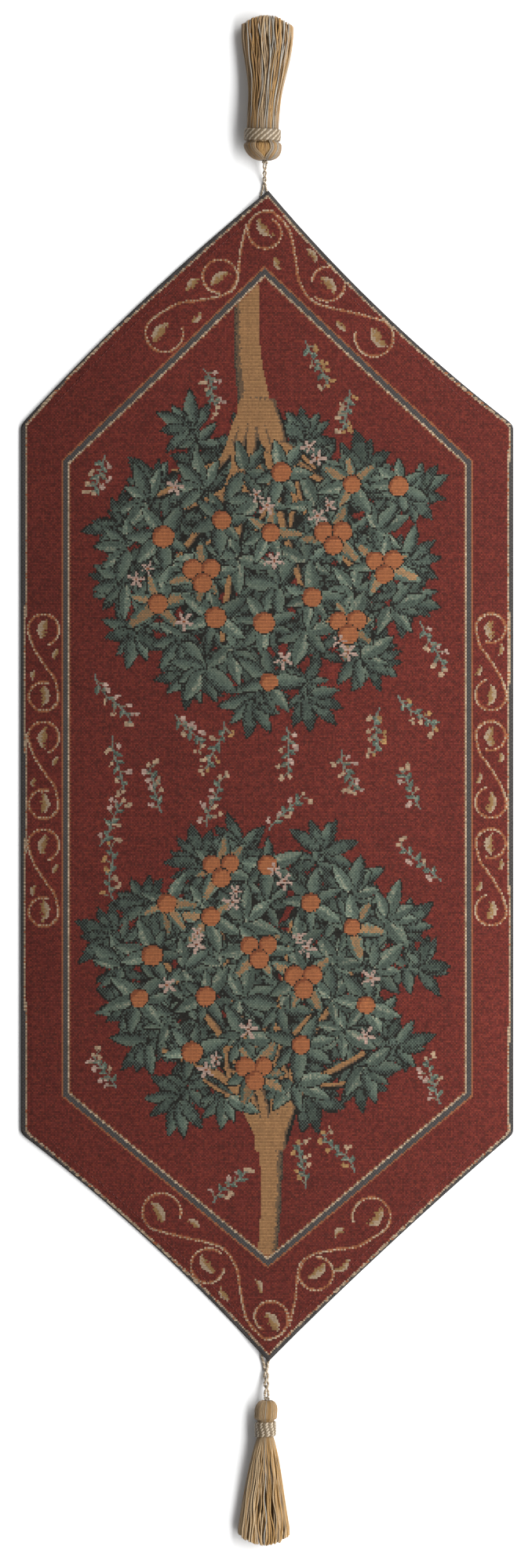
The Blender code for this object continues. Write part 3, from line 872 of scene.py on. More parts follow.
def tree(loom, root, fork, lean, widths, canopy, up, seed):
    """A fruiting tree, its sizes in mm. up is +1 if it grows towards +Y.

    widths are the trunk's at the root and at the fork; canopy is a middle and two radii.
    """
    rng = loom.random = np.random.default_rng(seed)
    root, fork = in_mm(root, fork)
    canopy = (cx, cy), (rx, ry) = in_mm(*canopy)
    root_width, fork_width = widths[0] * MM, widths[1] * MM
    fx, fy = fork

    def from_fork(x, y):
        return math.hypot(x - fx, y - fy)

    # Darkness inside the crown, dark leaves over it, and pointed sprays round the rim.
    spots = scattered(rng, canopy, 16 * MM, 0.86, seed)
    for x, y, bearing, reach in spots:
        loom.disc(x, y, (12.0 if reach < 0.72 else 6.0) * MM, "night")
    loom.disc(fx, fy + up * 20 * MM, 17 * MM, "night")
    darks = ("dark", "dark", "dark", "mid")
    for x, y, bearing, reach in spots:
        rosette(loom, x, y, rng.uniform(-3, 3), 2 * math.pi, 5, 18 * MM, darks, 1.2)
    sprays = 15
    for n in range(sprays):
        bearing = 2 * math.pi * (n + rng.uniform(-0.25, 0.25)) / sprays
        c, s = math.cos(bearing), math.sin(bearing)
        out = rng.uniform(0.80, 1.0)
        x, y = cx + rx * out * c, cy + ry * out * s
        if from_fork(x, y) < 26 * MM:
            continue
        loom.disc(x - 4 * MM * c, y - 4 * MM * s, 6 * MM, "night")
        rosette(loom, x - 9 * MM * c, y - 9 * MM * s, bearing, 5.6, 6, 19 * MM, darks[2:], 0.9)
        facing = bearing + rng.normal(0, 0.25)
        rosette(loom, x, y, facing, 3.4, 6, 24 * MM, darks[1:], 0.9)
    # The limbs fan out from the trunk and grow thin among the leaves.
    halfway = ((root[0] + fx) / 2 + lean * MM, (root[1] + fy) / 2)
    trunk = curve_through([root, halfway, fork], 14)
    width = root_width + (fork_width - root_width) * np.linspace(0, 1, len(trunk)) ** 3
    limbs = limbs_of(rng, fork, fork_width, canopy, up)
    for line, radii in limbs:
        loom.limb(line[6:] + np.array([1.2, -1.2]) * MM, radii[6:] + 0.8 * MM, "night")
    loom.limb(trunk, width / 2, "bark", "bark_shade", "bark_edge")
    for line, radii in limbs:
        loom.limb(line, radii, "bark", "bark_shade", None, up)
    # The lit leaves in front, and among them fruit in rings of tan leaves.
    pale = ("light", "mid", "light", "mid")
    hung = []

    def from_fruit(x, y):
        return min([math.hypot(x - p, y - q) for p, q in hung], default=1.0)

    for x, y, bearing, reach in scattered(rng, canopy, 23.5 * MM, 0.90, seed):
        clear = from_fork(x, y)
        if clear < 32 * MM or (clear < 70 * MM and rng.random() < 0.35):
            continue
        if from_fruit(x, y) > 31 * MM and clear > 38 * MM and len(hung) < 15:
            hung.append((x, y))
            continue
        inner = reach < 0.7
        facing, spread = (rng.uniform(-math.pi, math.pi), 5.0) if inner else (bearing, 3.4)
        rosette(loom, x, y, facing, spread, 5, 24 * MM, pale, 1.0)
    for n, (x, y) in enumerate(hung):
        around = ("tan", "light", "tan") if n % 2 else pale
        rosette(loom, x, y, rng.uniform(0, 6), 5.6, 6, 24 * MM, around, 1.0)
        if n % 4 == 1:
            for dx, dy in in_mm((-6.6, 3.0), (6.4, 3.5), (0.2, -6.6)):
                fruit(loom, x + dx, y + dy, rng.uniform(6.4, 7.2) * MM)
        else:
            fruit(loom, x, y, rng.uniform(6.2, 7.8) * MM)
    for x, y, bearing, reach in scattered(rng, canopy, 34 * MM, 0.85, seed)[:13]:
        if from_fruit(x, y) < 13 * MM or from_fork(x, y) < 34 * MM:
            continue
        blossom(loom, x, y, 7.0 * MM)
        if rng.random() < 0.6:
            blossom(loom, x + rng.uniform(-8, 8) * MM, y + 8 * MM, 5.4 * MM)


def sprig(loom, x, y, angle, length, gold):
    """A small flowering stem: teal leaves in pairs, and pale flowers on short stalks."""
    rng = loom.random

    def towards(heading, distance):
        return distance * np.array([math.cos(heading), math.sin(heading)])

    bend = rng.uniform(-0.5, 0.5)
    headings = angle + bend * np.sin(np.linspace(0, 1, 11) * 3.0) * 1.6
    line = [np.array([x, y]) - towards(angle, 0.5 * length)]
    for heading in headings:
        line.append(line[-1] + towards(heading, length / 11))
    loom.limb(line, np.full(len(line), 0.66 * MM), "sprig_leaf")
    for n in range(1, 11):
        heading = headings[n] + (1 if n % 2 else -1) * rng.uniform(0.7, 1.2)
        if n % 3 != 1:
            loom.leaf(*line[n], heading, rng.uniform(4.5, 7.0) * MM, 3.2 * MM, "light", 0)
        if n % 3 == 1 or rng.random() < 0.35:
            tip = line[n] + towards(heading, rng.uniform(4.5, 7.5) * MM)
            loom.limb([line[n], tip], [0.5 * MM, 0.5 * MM], "sprig_stem")
            petals = "flower_gold" if gold and n % 2 else ("flower", "blossom")[n % 2]
            for _ in range(3):
                px, py = tip + rng.normal(0, 1.1 * MM, 2)
                loom.disc(px, py, rng.uniform(0.9, 1.7) * MM, petals, rng.uniform(-0.15, 0.1))
    loom.disc(*line[-1], 1.6 * MM, "flower_gold" if gold else "flower")


def sprigs(loom, band):
    """Sprigs wherever the ground inside the band is bare, well apart."""
    rng = loom.random = np.random.default_rng(3)
    grown = []
    for _ in range(1500):
        x, y = rng.uniform(-132, 132) * MM, rng.uniform(-310, 330) * MM
        if distance_inside(np.array(x), np.array(y), band) < 21 * MM:
            continue
        if any(math.hypot(x - p, (y - q) * 0.8) < 30 * MM for p, q in grown):
            continue
        part, _, _ = loom.window(x - 8 * MM, x + 8 * MM, y - 14 * MM, y + 14 * MM)
        if (loom.kind[part] != 0).mean() > 0.02:
            continue
        grown.append((x, y))
        angle = math.pi / 2 * (1 if y < 0 else -1) + rng.normal(0, 0.35)
        flank = abs(x) > 105 * MM and abs(y) < 120 * MM
        length = (rng.uniform(36, 46) if flank else rng.uniform(28, 38)) * MM
        sprig(loom, x, y, angle, length, len(grown) % 3 == 0)


def weave_picture(loom):
    """The whole picture, from the ground forwards."""
    gx, gy = loom.x[None, :], loom.y[:, None]

    def paint(mask, weave, tone=0.0):
        loom.paint((slice(None), slice(None)), mask, weave, tone)

    # Slow drifts of the ground's tone.
    drift = 0.016 * np.sin(gx * 19 + gy * 7) + 0.014 * np.sin(gy * 23 - gx * 9 + 1.0)
    paint(np.ones_like(loom.tone, bool), "ground", drift)
    corners = in_mm(
        (-2, 361.5), (-143.4, 226), (-143.4, -223), (0.5, -343), (143.2, -223), (143.2, 226)
    )
    band = [(a, b, 0.0) for a, b in zip(corners, corners[1:] + corners[:1])]
    # The two trees, the upper one upside down.
    tree(loom, (0, -340), (2, -246), 2, (14, 19), ((-5, -141), (114, 104)), 1, 5)
    tree(loom, (-15, 352), (-7, 254), -3, (18, 26), ((0, 160), (116, 106)), -1, 11)
    sprigs(loom, band)
    # The band inside the border: orange hairline, slate, dotted cream and an orange trim.
    inward = distance_inside(gx, gy, band)
    paint(inward < 0, "ground", drift)
    inward = (inward + 0.12 * MM * np.sin(gy * 40) + 0.1 * MM * np.sin(gx * 40 + 1)) / MM
    row = np.arange(loom.rows)[:, None]
    flicker = 0.16 * (row % 2) + 0.2 * (loom.grain - 0.5)
    paint((inward > -2.86) & (inward < -1.75), "orange")
    paint(np.abs(inward) < 1.75, "slate", 0.02)
    paint((inward > 1.75) & (inward < 2.9), "cream", flicker - 0.12)
    paint((inward > 2.9) & (inward < 3.9) & (row % 2 == 0), "orange", -0.08)
    scrolls(loom)
    # The outer edging: a slate strip at the fold and a dashed cream line inside it.
    edge = distance_inside(gx, gy, SIDES) / MM
    slanting = (gy > SHOULDER_TOP) | (gy < SHOULDER_BOTTOM)
    middle = np.where(slanting, 2.8, 3.4) + 0.45 * np.sin(gy * 31 + 2)
    middle = middle + 0.35 * np.sin(gx * 43 + gy * 12)
    paint(edge < middle, "slate", -0.02)
    line = np.abs(edge - middle) < 0.62
    paint(line, "cream", flicker - 0.12)
    paint(line & (loom.grain > 0.88), "orange")


def edge_table(sides, fold):
    """The folded edge along some sides, from low to high: y, x, side and fraction along it."""
    fine = np.linspace(0, 1, 600)
    stretches = []
    for k in sides:
        p = on_side(k, fine, fold)
        stretches.append(np.stack([p[:, 1], p[:, 0], np.full(600, k), fine], 1))
    table = np.concatenate(stretches)
    return table[np.argsort(table[:, 0], kind="stable")]


def edge_at(table, y):
    """Where the edge crosses a height: x, the side, and the fraction along it."""
    at = int(np.clip(np.searchsorted(table[:, 0], y), 1, len(table) - 1))
    a, b = table[at - 1], table[at]
    share = (y - a[0]) / max(b[0] - a[0], 1e-9) if a[2] == b[2] else 0.0
    return a[1] + (b[1] - a[1]) * share, int(a[2]), a[3] + (b[3] - a[3]) * share


def woven_cells(fold, rows, x0):
    """A face for each cell inside the folded edge, laid flat.

    Returns the points, the faces, each face's row and column, and the ring of edge points
    anticlockwise from the top tip, each with its side and the fraction along it.
    """
    left, right = edge_table((0, 1, 2), fold), edge_table((3, 4, 5), fold)
    low, high = max(left[0, 0], right[0, 0]), min(left[-1, 0], right[-1, 0])
    points, faces, cells, lines, ring_left, ring_right = [], [], [], [], [], []
    for j in range(rows + 1):
        y = TIP_BOTTOM + j * PICK
        if not low + 0.5 * MM < y < high - 0.5 * MM:
            continue
        (x_left, *at_left), (x_right, *at_right) = edge_at(left, y), edge_at(right, y)
        first = math.ceil((x_left + 0.35 * END - x0) / END)
        last = math.floor((x_right - 0.35 * END - x0) / END)
        start = len(points)
        inner = [(x0 + c * END, y) for c in range(first, last + 1)]
        points += [(x_left, y), *inner, (x_right, y)]
        ring_left.append((start, *at_left))
        ring_right.append((len(points) - 1, *at_right))
        # First and last columns, the end points, and what to add to a column for its point.
        lines.append((j, first, last, start, len(points) - 1, start + 1 - first))

    def add(j, column, out, back):
        """A face along the lower line from out[0] to out[1], and back along the upper one."""
        faces.append([*range(out[0], out[1] + 1), *range(back[0], back[1] - 1, -1)])
        cells.append((j, column))

    for (j, f0, l0, start0, end0, n0), (_, f1, l1, start1, end1, n1) in zip(lines, lines[1:]):
        lo, hi = max(f0, f1), min(l0, l1)
        if hi < lo:
            add(j, f0, (start0, end0), (end1, start1))
            continue
        add(j, lo - 1, (start0, n0 + lo), (n1 + lo, start1))
        for c in range(lo, hi):
            add(j, c, (n0 + c, n0 + c + 1), (n1 + c + 1, n1 + c))
        add(j, hi, (n0 + hi, end0), (end1, n1 + hi))
    # The two tips, the bottom one first.
    tips = [len(points), len(points) + 1]
    points += [tuple(on_side(k, [0.0], fold)[0]) for k in (3, 0)]
    j, first, _, start, end, _ = lines[0]
    faces.append([tips[0], *range(end, start - 1, -1)])
    cells.append((j - 1, first))
    j, first, _, start, end, _ = lines[-1]
    faces.append([*range(start, end + 1), tips[1]])
    cells.append((j, first))
    ring = [(tips[1], 0, 0.0), *ring_left[::-1], (tips[0], 3, 0.0), *ring_right]
    return np.array(points), faces, np.array(cells), ring


def on_ring(side, share, inwards):
    """The ring's points, each on its own side at its own fraction, moved inwards."""
    p = np.empty((len(side), 2))
    for k in range(6):
        p[side == k] = on_side(k, share[side == k], inwards)
    return p


def round_shoulders(p, inwards):
    """The ring's points, with the four shoulders rounded off."""
    weights = np.exp(-0.5 * (np.arange(-3, 4) / 1.6) ** 2)
    weights /= weights.sum()
    for k in (1, 2, 4, 5):
        near = np.linalg.norm(p - on_side(k, [0.0], inwards)[0], axis=1) < 4.5 * MM
        soft = sum(w * np.roll(p, s, axis=0) for s, w in zip(range(-3, 4), weights))
        p[near] = soft[near]
    return p


def make_face():
    """The cloth, cell by cell, its rounded fold, and the hem turned under."""
    fold = 1.05 * MM
    rows = int((TIP_TOP - TIP_BOTTOM) / PICK) + 1
    columns = int(PANEL_WIDTH / END) + 4
    columns += columns % 2
    x0 = -columns / 2 * END
    loom = Loom(columns, rows + 1, x0, TIP_BOTTOM, 8)
    weave_picture(loom)
    flat, faces, cells, ring = woven_cells(fold, rows, x0)
    row, column = np.clip(cells, 0, (rows, columns - 1)).T
    colours = [loom.colours()[row, column]]
    pick = np.round((flat[:, 1] - TIP_BOTTOM) / PICK).astype(int)
    inside = distance_inside(flat[:, 0], flat[:, 1], SIDES)
    relief = RIB_RELIEF * np.where(pick % 2 == 0, 1, -1) * smooth(inside / (5 * MM))
    layers = [np.column_stack([flat, face_height(flat[:, 0], flat[:, 1]) + relief])]

    # Rings of points from the edge round the fold and in under the cloth: inset and drop.
    numbers, side, share = (np.array(column) for column in zip(*ring))
    drop = 2 * CLOTH + GAP
    turns = np.radians([30, 60, 90, 120, 150, 180])
    profile = [(fold * (1 - math.sin(a)), drop / 2 * (1 - math.cos(a))) for a in turns]
    profile += [(inset * MM, drop) for inset in (3.0, 5.5, 8.0, 10.5, 13.0)]
    edge_z = face_height(flat[numbers, 0], flat[numbers, 1])
    unfolded, travel, before = [], 0.0, (fold, 0.0)
    ring_numbers = [numbers]
    for inset, fall in profile:
        p = round_shoulders(on_ring(side, share, inset), inset)
        z = face_height(p[:, 0], p[:, 1]) if fall >= drop else edge_z
        ring_numbers.append(sum(map(len, layers)) + np.arange(len(ring)))
        layers.append(np.column_stack([p, z - fall]))
        travel += math.dist((inset, fall), before)
        before = (inset, fall)
        unfolded.append(travel)
    back = np.random.default_rng(21)
    for n, (outer, inner) in enumerate(zip(ring_numbers, ring_numbers[1:])):
        faces += np.stack([outer, inner, np.roll(inner, -1), np.roll(outer, -1)], 1).tolist()
        light, dark = np.array(WEAVES["slate" if n < 8 else "ground"][:2], float)
        colours.append(finish_of(dark + (light - dark) * back.uniform(0.2, 0.8, (len(ring), 1))))
    # UVs: the cut laid flat, the hem opened outwards.
    points = np.concatenate(layers)
    uv = points[:, :2].copy()
    for out, numbers in zip(unfolded, ring_numbers[1:]):
        uv[numbers] = on_ring(side, share, fold - out)
    lowest, highest = uv.min(0), uv.max(0)
    uv = (uv - lowest) / (highest - lowest) * 0.996 + 0.002
    mesh = mesh_of("face_panel_cloth", points, faces, uv, np.concatenate(colours), per_face=True)
    weave = cloth_material("jacquard_weave", 0.20)
    cloth = add_piece("woven_face", mesh, weave, "panel", "red_jacquard", "face_panel")
    return cloth, tuple((highest - lowest).tolist()), mesh


def make_lining():
    """A plain cotton back inside the hem, its own edge turned under."""
    t = np.linspace(0, 1, 60, endpoint=False)
    rings = []
    # Rings round the turned edge: how far in from the inset, and how high, in mm.
    for further, z in ((1.2, 0.5), (0.4, 0.48), (0.0, 0.28), (0.35, 0.06), (2.0, 0.04)):
        p = np.concatenate([on_side(k, t, LINING_INSET + further * MM) for k in range(6)])
        rings.append(np.column_stack([p, np.full(len(p), z * MM)]))
    outer = rings[-1]
    spine = outer.copy()
    spine[:, 0] = 0
    spine[:, 1] = np.clip(outer[:, 1], SHOULDER_BOTTOM * 0.9, SHOULDER_TOP * 0.9)
    for share in (0.97, 0.9, 0.75, 0.5, 0.25):
        p = spine + (outer - spine) * share
        ripple = 1 + np.sin(p[:, 0] * 90) * np.sin(p[:, 1] * 60)
        p[:, 2] = (0.05 + 0.06 * ripple) * MM
        rings.append(p)
    count = len(outer)
    points = np.concatenate(rings)
    faces = []
    for n in range(len(rings) - 1):
        a = n * count + np.arange(count)
        b = a + count
        faces += np.stack([np.roll(a, -1), np.roll(b, -1), b, a], 1).tolist()
    faces.append(list(range(len(points) - 1, len(points) - count - 1, -1)))
    tones = np.random.default_rng(4).uniform(0.94, 1.06, (len(faces), 1))
    shades = finish_of(np.array((98.0, 62.0, 52.0)) * tones)
    uv = points[:, :2]
    uv = (uv - uv.min(0)) / (uv.max(0) - uv.min(0)) * 0.99 + 0.005
    mesh = mesh_of("lining_cloth", points, faces, uv, shades, per_face=True)
    weave = cloth_material("lining_weave", 0.15)
    return add_piece("cotton_lining", mesh, weave, "panel", "lining_cotton", "lining_panel"), mesh


def sheet_area(mesh):
    areas = np.empty(len(mesh.polygons))
    mesh.polygons.foreach_get("area", areas)
    return float(areas.sum())


def make_stitches():
    """Running stitches along each slanting hem, and the slip stitches round the lining."""
    thread = yarn_material("stitch_thread", 0.6, 0.1)
    lengths = [np.linalg.norm(np.subtract(end, start)) for start, end, _ in SIDES]
    for name, k in (("top_left", 0), ("bottom_left", 2), ("bottom_right", 3), ("top_right", 5)):
        pitch, share = 3.4 * MM, 0.62
        count = int((lengths[k] - 42 * MM) / pitch)
        starts = (22 * MM + pitch * np.arange(count)) / lengths[k]
        t = starts[:, None] + np.linspace(0, share * pitch / lengths[k], 6)
        p = on_side(k, t.ravel(), HEM_STITCH_INSET).reshape(count, 6, 2)
        above = np.array([-0.25, 0.22, 0.34, 0.34, 0.22, -0.25]) * MM
        z = face_height(p[..., 0], p[..., 1]) + above
        path = np.concatenate([p, z[..., None]], 2)
        pinkish = finish_of((132, 66, 60))
        bundle = yarns(path, 0.20 * MM, pinkish, sides=6, pitch=1.6 * MM, groove=0.2)
        add_yarns(
            name + "_stitches", bundle, name + "_running_stitch", thread, "panel", "red_thread",
            name + "_hem_stitch",
        )
    per_side = []
    for k, length in enumerate(lengths):
        starts = np.arange(3 * MM, length - 8 * MM, 5.0 * MM) / length
        stations = []
        for along, depth, z in zip(
            np.linspace(0, 2.6, 5), np.linspace(7.0, 9.0, 5), (0.74, 0.5, 0.38, 0.3, 0.22)
        ):
            p = on_side(k, starts + along * MM / length, depth * MM)
            stations.append(np.column_stack([p, np.full(len(p), z * MM)]))
        per_side.append(np.stack(stations, 1))
    red = finish_of((110, 58, 50))
    bundle = yarns(np.concatenate(per_side), 0.16 * MM, red, sides=5, groove=0.0)
    add_yarns(
        "slip_stitches", bundle, "lining_slip_stitches", thread, "panel", "red_thread",
        "lining_slip_stitch",
    )


# ---------------------------------------------------------------- cords


def cord_middle(tassel, tip_y, sign):
    """The tack and the crown that the doubled cord runs between."""
    rest = tassel["cord_diameter"] / 2 + GAP
    tack = np.array([tassel["tack_x"], tip_y - sign * TACK_INSIDE_TIP, rest])
    crown = np.array([tassel["crown_x"], tip_y + sign * tassel["cord"], axis_height(tassel)])
    return tack, crown


def cord_path(tassel, tip_y, sign, twists):
    """From the knot, round the tack and back, its two legs wound round each other."""
    radius = tassel["cord_diameter"] / 2
    hold = TACK_RADIUS + GAP + radius
    turn = hold + 0.85 * MM
    close = radius + GAP / 2
    tack, crown = cord_middle(tassel, tip_y, sign)
    reach = abs(crown[1] - tack[1]) - KNOT_RADIUS * 0.6
    flat = TACK_INSIDE_TIP + 2.5 * MM
    run = np.linspace(0, reach, 90)
    rise = smooth((run - flat) / (reach - flat + KNOT_RADIUS))
    out = turn + (close - turn) * smooth(run / flat)
    middle = tack + (crown - tack) * (run / abs(crown[1] - tack[1]))[:, None]
    height = tack[2] + (crown[2] - tack[2]) * rise
    t = np.clip((run - flat) / (0.95 * reach - flat), 0, 1)
    wound = np.pi * twists * (0.35 * smooth(t) + 0.65 * t)
    legs = []
    for way in (1, -1):
        x = middle[:, 0] + way * out * np.cos(wound)
        z = height + way * out * np.sin(wound) * smooth((run - flat) / (2 * MM))
        y = tack[1] + sign * (run + (turn - hold) * (1 - run / reach))
        legs.append(np.stack([x, y, np.maximum(z, radius + 0.1 * MM)], 1))
    angle = np.pi * np.arange(1, 12) / 12
    bend_y = tack[1] + sign * (turn - hold - turn * np.sin(angle))
    bend = np.stack([tack[0] + turn * np.cos(angle), bend_y, np.full(11, tack[2])], 1)
    return np.concatenate([legs[0][::-1], bend, legs[1]])


def make_cord(where, tassel, tip_y, sign, twists):
    """The doubled cord, the thread tack that holds its bend, and its knot in the crown."""
    path = cord_path(tassel, tip_y, sign, twists)
    run = along_path(path)
    even = np.linspace(0, run[-1], int(run[-1] / (0.32 * MM)))
    dense = np.stack([np.interp(even, run, path[:, c]) for c in range(3)], 1)
    diameter = tassel["cord_diameter"]
    bundle = yarns(
        dense[None], diameter / 2, finish_of((196, 180, 158), YARN_LEVEL), sides=14,
        pitch=3.6 * MM, groove=0.40, contrast=0.7, second=(0.62, 0.56, 0.48),
    )
    piece = add_yarns(
        where + "_cord", bundle, where + "_cord_loop", CORD_FINISH, where + "_cord", "cord_yarn",
        where + "_hanging_cord",
    )
    tack, crown = cord_middle(tassel, tip_y, sign)
    # The tack: five turns of thread between the hem and the cord's bend.
    angle = np.linspace(0, 5 * 2 * np.pi, 60)
    top = HEM_UNDERSIDE + TIP_LIFT * 0.78 - GAP
    x, y = tack[0] + 0.28 * MM * np.cos(angle), tack[1] + 0.28 * MM * np.sin(angle)
    helix = np.stack([x, y, GAP + (top - GAP) * angle / angle[-1]], 1)
    red = finish_of((120, 60, 54))
    bundle = yarns(helix[None], 0.17 * MM, red, sides=6, groove=0.0, up=(1, 0, 0))
    add_yarns(
        where + "_tack", bundle, where + "_thread_tack", TACK_FINISH, "panel", "red_thread",
        where + "_tip_tack",
    )
    # The knot: a trefoil of the same cord, drawn tight.
    t = np.linspace(0, 2 * np.pi, 90)
    x, y, z = np.sin(t) + 2 * np.sin(2 * t), -1.2 * np.sin(3 * t), np.cos(t) - 2 * np.cos(2 * t)
    knot = crown + 0.56 * MM * np.stack([x, y, z], 1)
    cream = finish_of((190, 172, 148))
    bundle = yarns(
        knot[None], 0.68 * MM, cream, sides=10, pitch=3.5 * MM, groove=0.3, up=(0, 1, 0)
    )
    add_yarns(
        where + "_knot", bundle, where + "_crown_knot", CORD_FINISH, where + "_tassel",
        "cord_yarn", where + "_cord_knot",
    )


# ---------------------------------------------------------------- tassels


def outer_size(tassel, d):
    """Half width and half height of the yarn at distances d behind the crown."""
    d = np.asarray(d, float)
    head, binding = tassel["head_length"], tassel["binding_length"]
    widest = tassel["widest"] * head
    t_dome = np.clip((d - LIP_BEHIND_KNOT) / (widest - LIP_BEHIND_KNOT), 0, 1)
    dome = np.sqrt(np.maximum(0.0, 1 - (1 - t_dome) ** 2)) ** 0.9
    t_neck = smooth((d - 0.86 * head) / (0.14 * head))
    t_skirt = (d - head - binding) / tassel["skirt_length"]
    flare_from, flare_to = tassel["flare_from"], tassel["flare_to"]
    share = np.clip((t_skirt - flare_from) / (flare_to - flare_from), 0, 1)
    share = smooth(share) if tassel["flare_smooth"] else share**0.8
    rounding = np.clip((t_skirt - 0.95) / 0.05, 0, None)
    sizes = []
    for axis, narrowing in (("width", 0.3), ("height", 0.25)):
        full, neck, hem = (tassel[part + "_" + axis] / 2 for part in ("head", "neck", "hem"))
        on_head = LIP_RADIUS + (full - LIP_RADIUS) * dome + (neck - full) * t_neck
        on_skirt = (neck + (hem - neck) * share) * (1 - narrowing * rounding**2)
        sizes.append(np.where(d < head, on_head, np.where(d < head + binding, neck, on_skirt)))
    return sizes


def centre_of(tassel, d):
    """Sideways shift and height of the tassel's middle: it leans, and rests on the surface."""
    d = np.asarray(d, float)
    head, total = tassel["head_length"], tassel_length(tassel)
    crown_x, neck_x, hem_x = (tassel[part + "_x"] for part in ("crown", "neck", "hem"))
    near = crown_x + (neck_x - crown_x) * smooth(d / head)
    far = neck_x + (hem_x - neck_x) * smooth((d - head) / (0.7 * (total - head)))
    x = np.where(d < head, near, far)
    skirt = head + tassel["binding_length"]
    above = axis_height(tassel) - tassel["neck_height"] / 2
    drop = smooth((d - skirt) / (0.6 * (total - skirt)))
    low = outer_size(tassel, np.minimum(d, 0.95 * total))[1] + above * (1 - drop)
    return x, np.where(d <= skirt, axis_height(tassel), low)


YARN_SHADES = {
    "gold": (160, 124, 74),
    "taupe": (158, 134, 104),
    "silver": (150, 143, 132),
    "brown": (132, 100, 62),
    "honey": (172, 138, 92),
    "straw": (178, 152, 116),
}


# All yarns of both tassels are the same.
YARN_RADIUS = 0.60 * MM
YARN_TWIST = 2.8 * MM
STATIONS = 220
BINDING_THICKNESS = 0.80 * MM


class Tassel:
    """One tassel's yarns, all placed by one run of random numbers."""

    def __init__(self, where, sizes, tip_y, sign, look):
        self.where, self.sizes, self.sign, self.look = where, sizes, sign, look
        self.rng = np.random.default_rng(look["seed"])
        self.crown_y = tip_y + sign * sizes["cord"]
        self.head, self.binding = sizes["head_length"], sizes["binding_length"]
        self.skirt, self.total = self.head + self.binding, tassel_length(sizes)

    def below(self, d, distance):
        """0 above the skirt, rising to 1 at a distance down it."""
        return smooth((d - self.skirt) / distance)

    def shades(self, count, names, shares):
        chosen = self.rng.choice(len(names), count, p=np.array(shares) / sum(shares))
        rgb = np.array([YARN_SHADES[name] for name in names], float)[chosen]
        return rgb * self.rng.uniform(0.92, 1.08, (count, 1))

    def places(self, angle, d, inset):
        """Places on the tassel's outside, drawn in by inset, as strands by stations."""
        half_width, half_height = outer_size(self.sizes, d)
        x, z = centre_of(self.sizes, d)
        x = x + (half_width - inset) * np.cos(angle)
        z = z + (half_height - inset) * np.sin(angle)
        return np.stack([x, self.crown_y + self.sign * d + 0 * x, z], -1)

    def hem_at(self, angle):
        """Where each strand ends: the cut is an arch, a little uneven."""
        sideways = np.cos(angle)
        cut = self.look["hem_drop"] * np.abs(sideways) ** 2.2 + self.look["hem_tilt"] * sideways
        return self.total - cut - self.rng.uniform(0, 0.9 * MM, len(angle))

    def waves(self, count, d):
        """Sideways sway of each strand down the skirt, as an angle; some stray."""
        rng, one = self.rng, (count, 1)
        t = np.clip((d - self.skirt) / self.sizes["skirt_length"], 0, 1)
        length = rng.uniform(24, 52, one) * MM
        sway = rng.uniform(0.02, 0.06, one)
        sway = sway * np.sin(2 * np.pi * d / length + rng.uniform(0, 6.3, one))
        slow = rng.normal(0, 0.035, one) * np.sin(np.pi * t * rng.uniform(0.7, 1.6, one))
        strays = (rng.random(one) < 0.25) * rng.normal(0, 0.16, one) * np.sin(np.pi * t) ** 2
        return (sway + slow) * smooth(t * 5) + strays

    def parted(self, swung, d):
        """The cover's angles, parted over the middle of the head to show the core."""
        closing = 1 - smooth((d - self.head) / self.binding)
        opening = smooth((d - 0.12 * self.head) / (0.6 * self.head)) * closing
        opening = self.look["parting"] * opening
        off = (swung + np.pi / 2) % (2 * np.pi) - np.pi
        reach = np.pi / 2
        pushed = np.sign(off) * (opening + np.abs(off) * (reach - opening) / reach)
        return np.where(np.abs(off) < reach, np.pi / 2 + pushed, swung)

    def layer(self, count, begin, inset, names, shares, stations, thickness, offset=0.0):
        """A layer of strands from begin to the hem. One that begins on the head is the cover."""
        rng, look = self.rng, self.look
        angle = 2 * np.pi * (np.arange(count) + 0.5 + offset) / count
        angle = angle + rng.normal(0, 0.02, count)
        end = self.hem_at(angle)
        cover = begin < self.head
        # Stations lie closer together on the head, where the cover's strands curve. An inner
        # layer begins under the binding, and doubles back there.
        on_head = np.linspace(begin, self.head, 18)[None] + 0 * angle[:, None]
        share = np.linspace(0, 1, stations + 1)[1:]
        rest = self.head + (end - self.head)[:, None] * share[None]
        d = np.concatenate([on_head, rest], 1)
        width, height = outer_size(self.sizes, d)
        rim = 2 * np.pi * np.sqrt((width**2 + height**2) / 2)
        radius = np.clip(thickness * rim / count, 0.22 * MM, YARN_RADIUS)
        swung = angle[:, None] + self.waves(count, d)
        clump = look["clump"] * np.sin(look["clumps"] * angle)[:, None]
        swung = swung + clump * self.below(d, 0.8 * self.sizes["skirt_length"])
        if cover and look["parting"]:
            swung = self.parted(swung, d)
        lift = rng.uniform(-0.45, 0.45, (count, 1)) * MM * self.below(d, 20 * MM)
        paths = self.places(swung, d, inset + radius - lift)
        paths[..., 2] = np.maximum(paths[..., 2], radius + 0.1 * MM)
        shades = self.shades(count, names, shares)
        if cover and look["parting"]:
            # More silver yarns beside the parting.
            beside = np.abs((angle + np.pi / 2) % (2 * np.pi) - np.pi)
            near = (beside > 0.05) & (beside < 0.5) & (rng.random(count) < 0.4)
            silver = np.array(YARN_SHADES["silver"])
            shades[near] = silver * rng.uniform(0.95, 1.05, (near.sum(), 1))
        shades = finish_of(np.clip(shades, 0, 255), YARN_LEVEL)[:, None, :]
        # Painted light: the strands go from 0.94 on the head to 1.2 times from 10 mm down the
        # skirt, to make up for the shade among the skirt's strands.
        shades = shades * (0.94 + 0.26 * self.below(d, 10 * MM))[..., None]
        shades = shades * np.where(d > end[:, None] - 1.2 * MM, 1.1, 1.0)[..., None]
        phase = rng.uniform(0, 6.3, count)
        look = {"sides": 6, "pitch": YARN_TWIST, "groove": 0.34, "contrast": 0.62}
        return yarns(paths, radius, shades, phase=phase, **look)

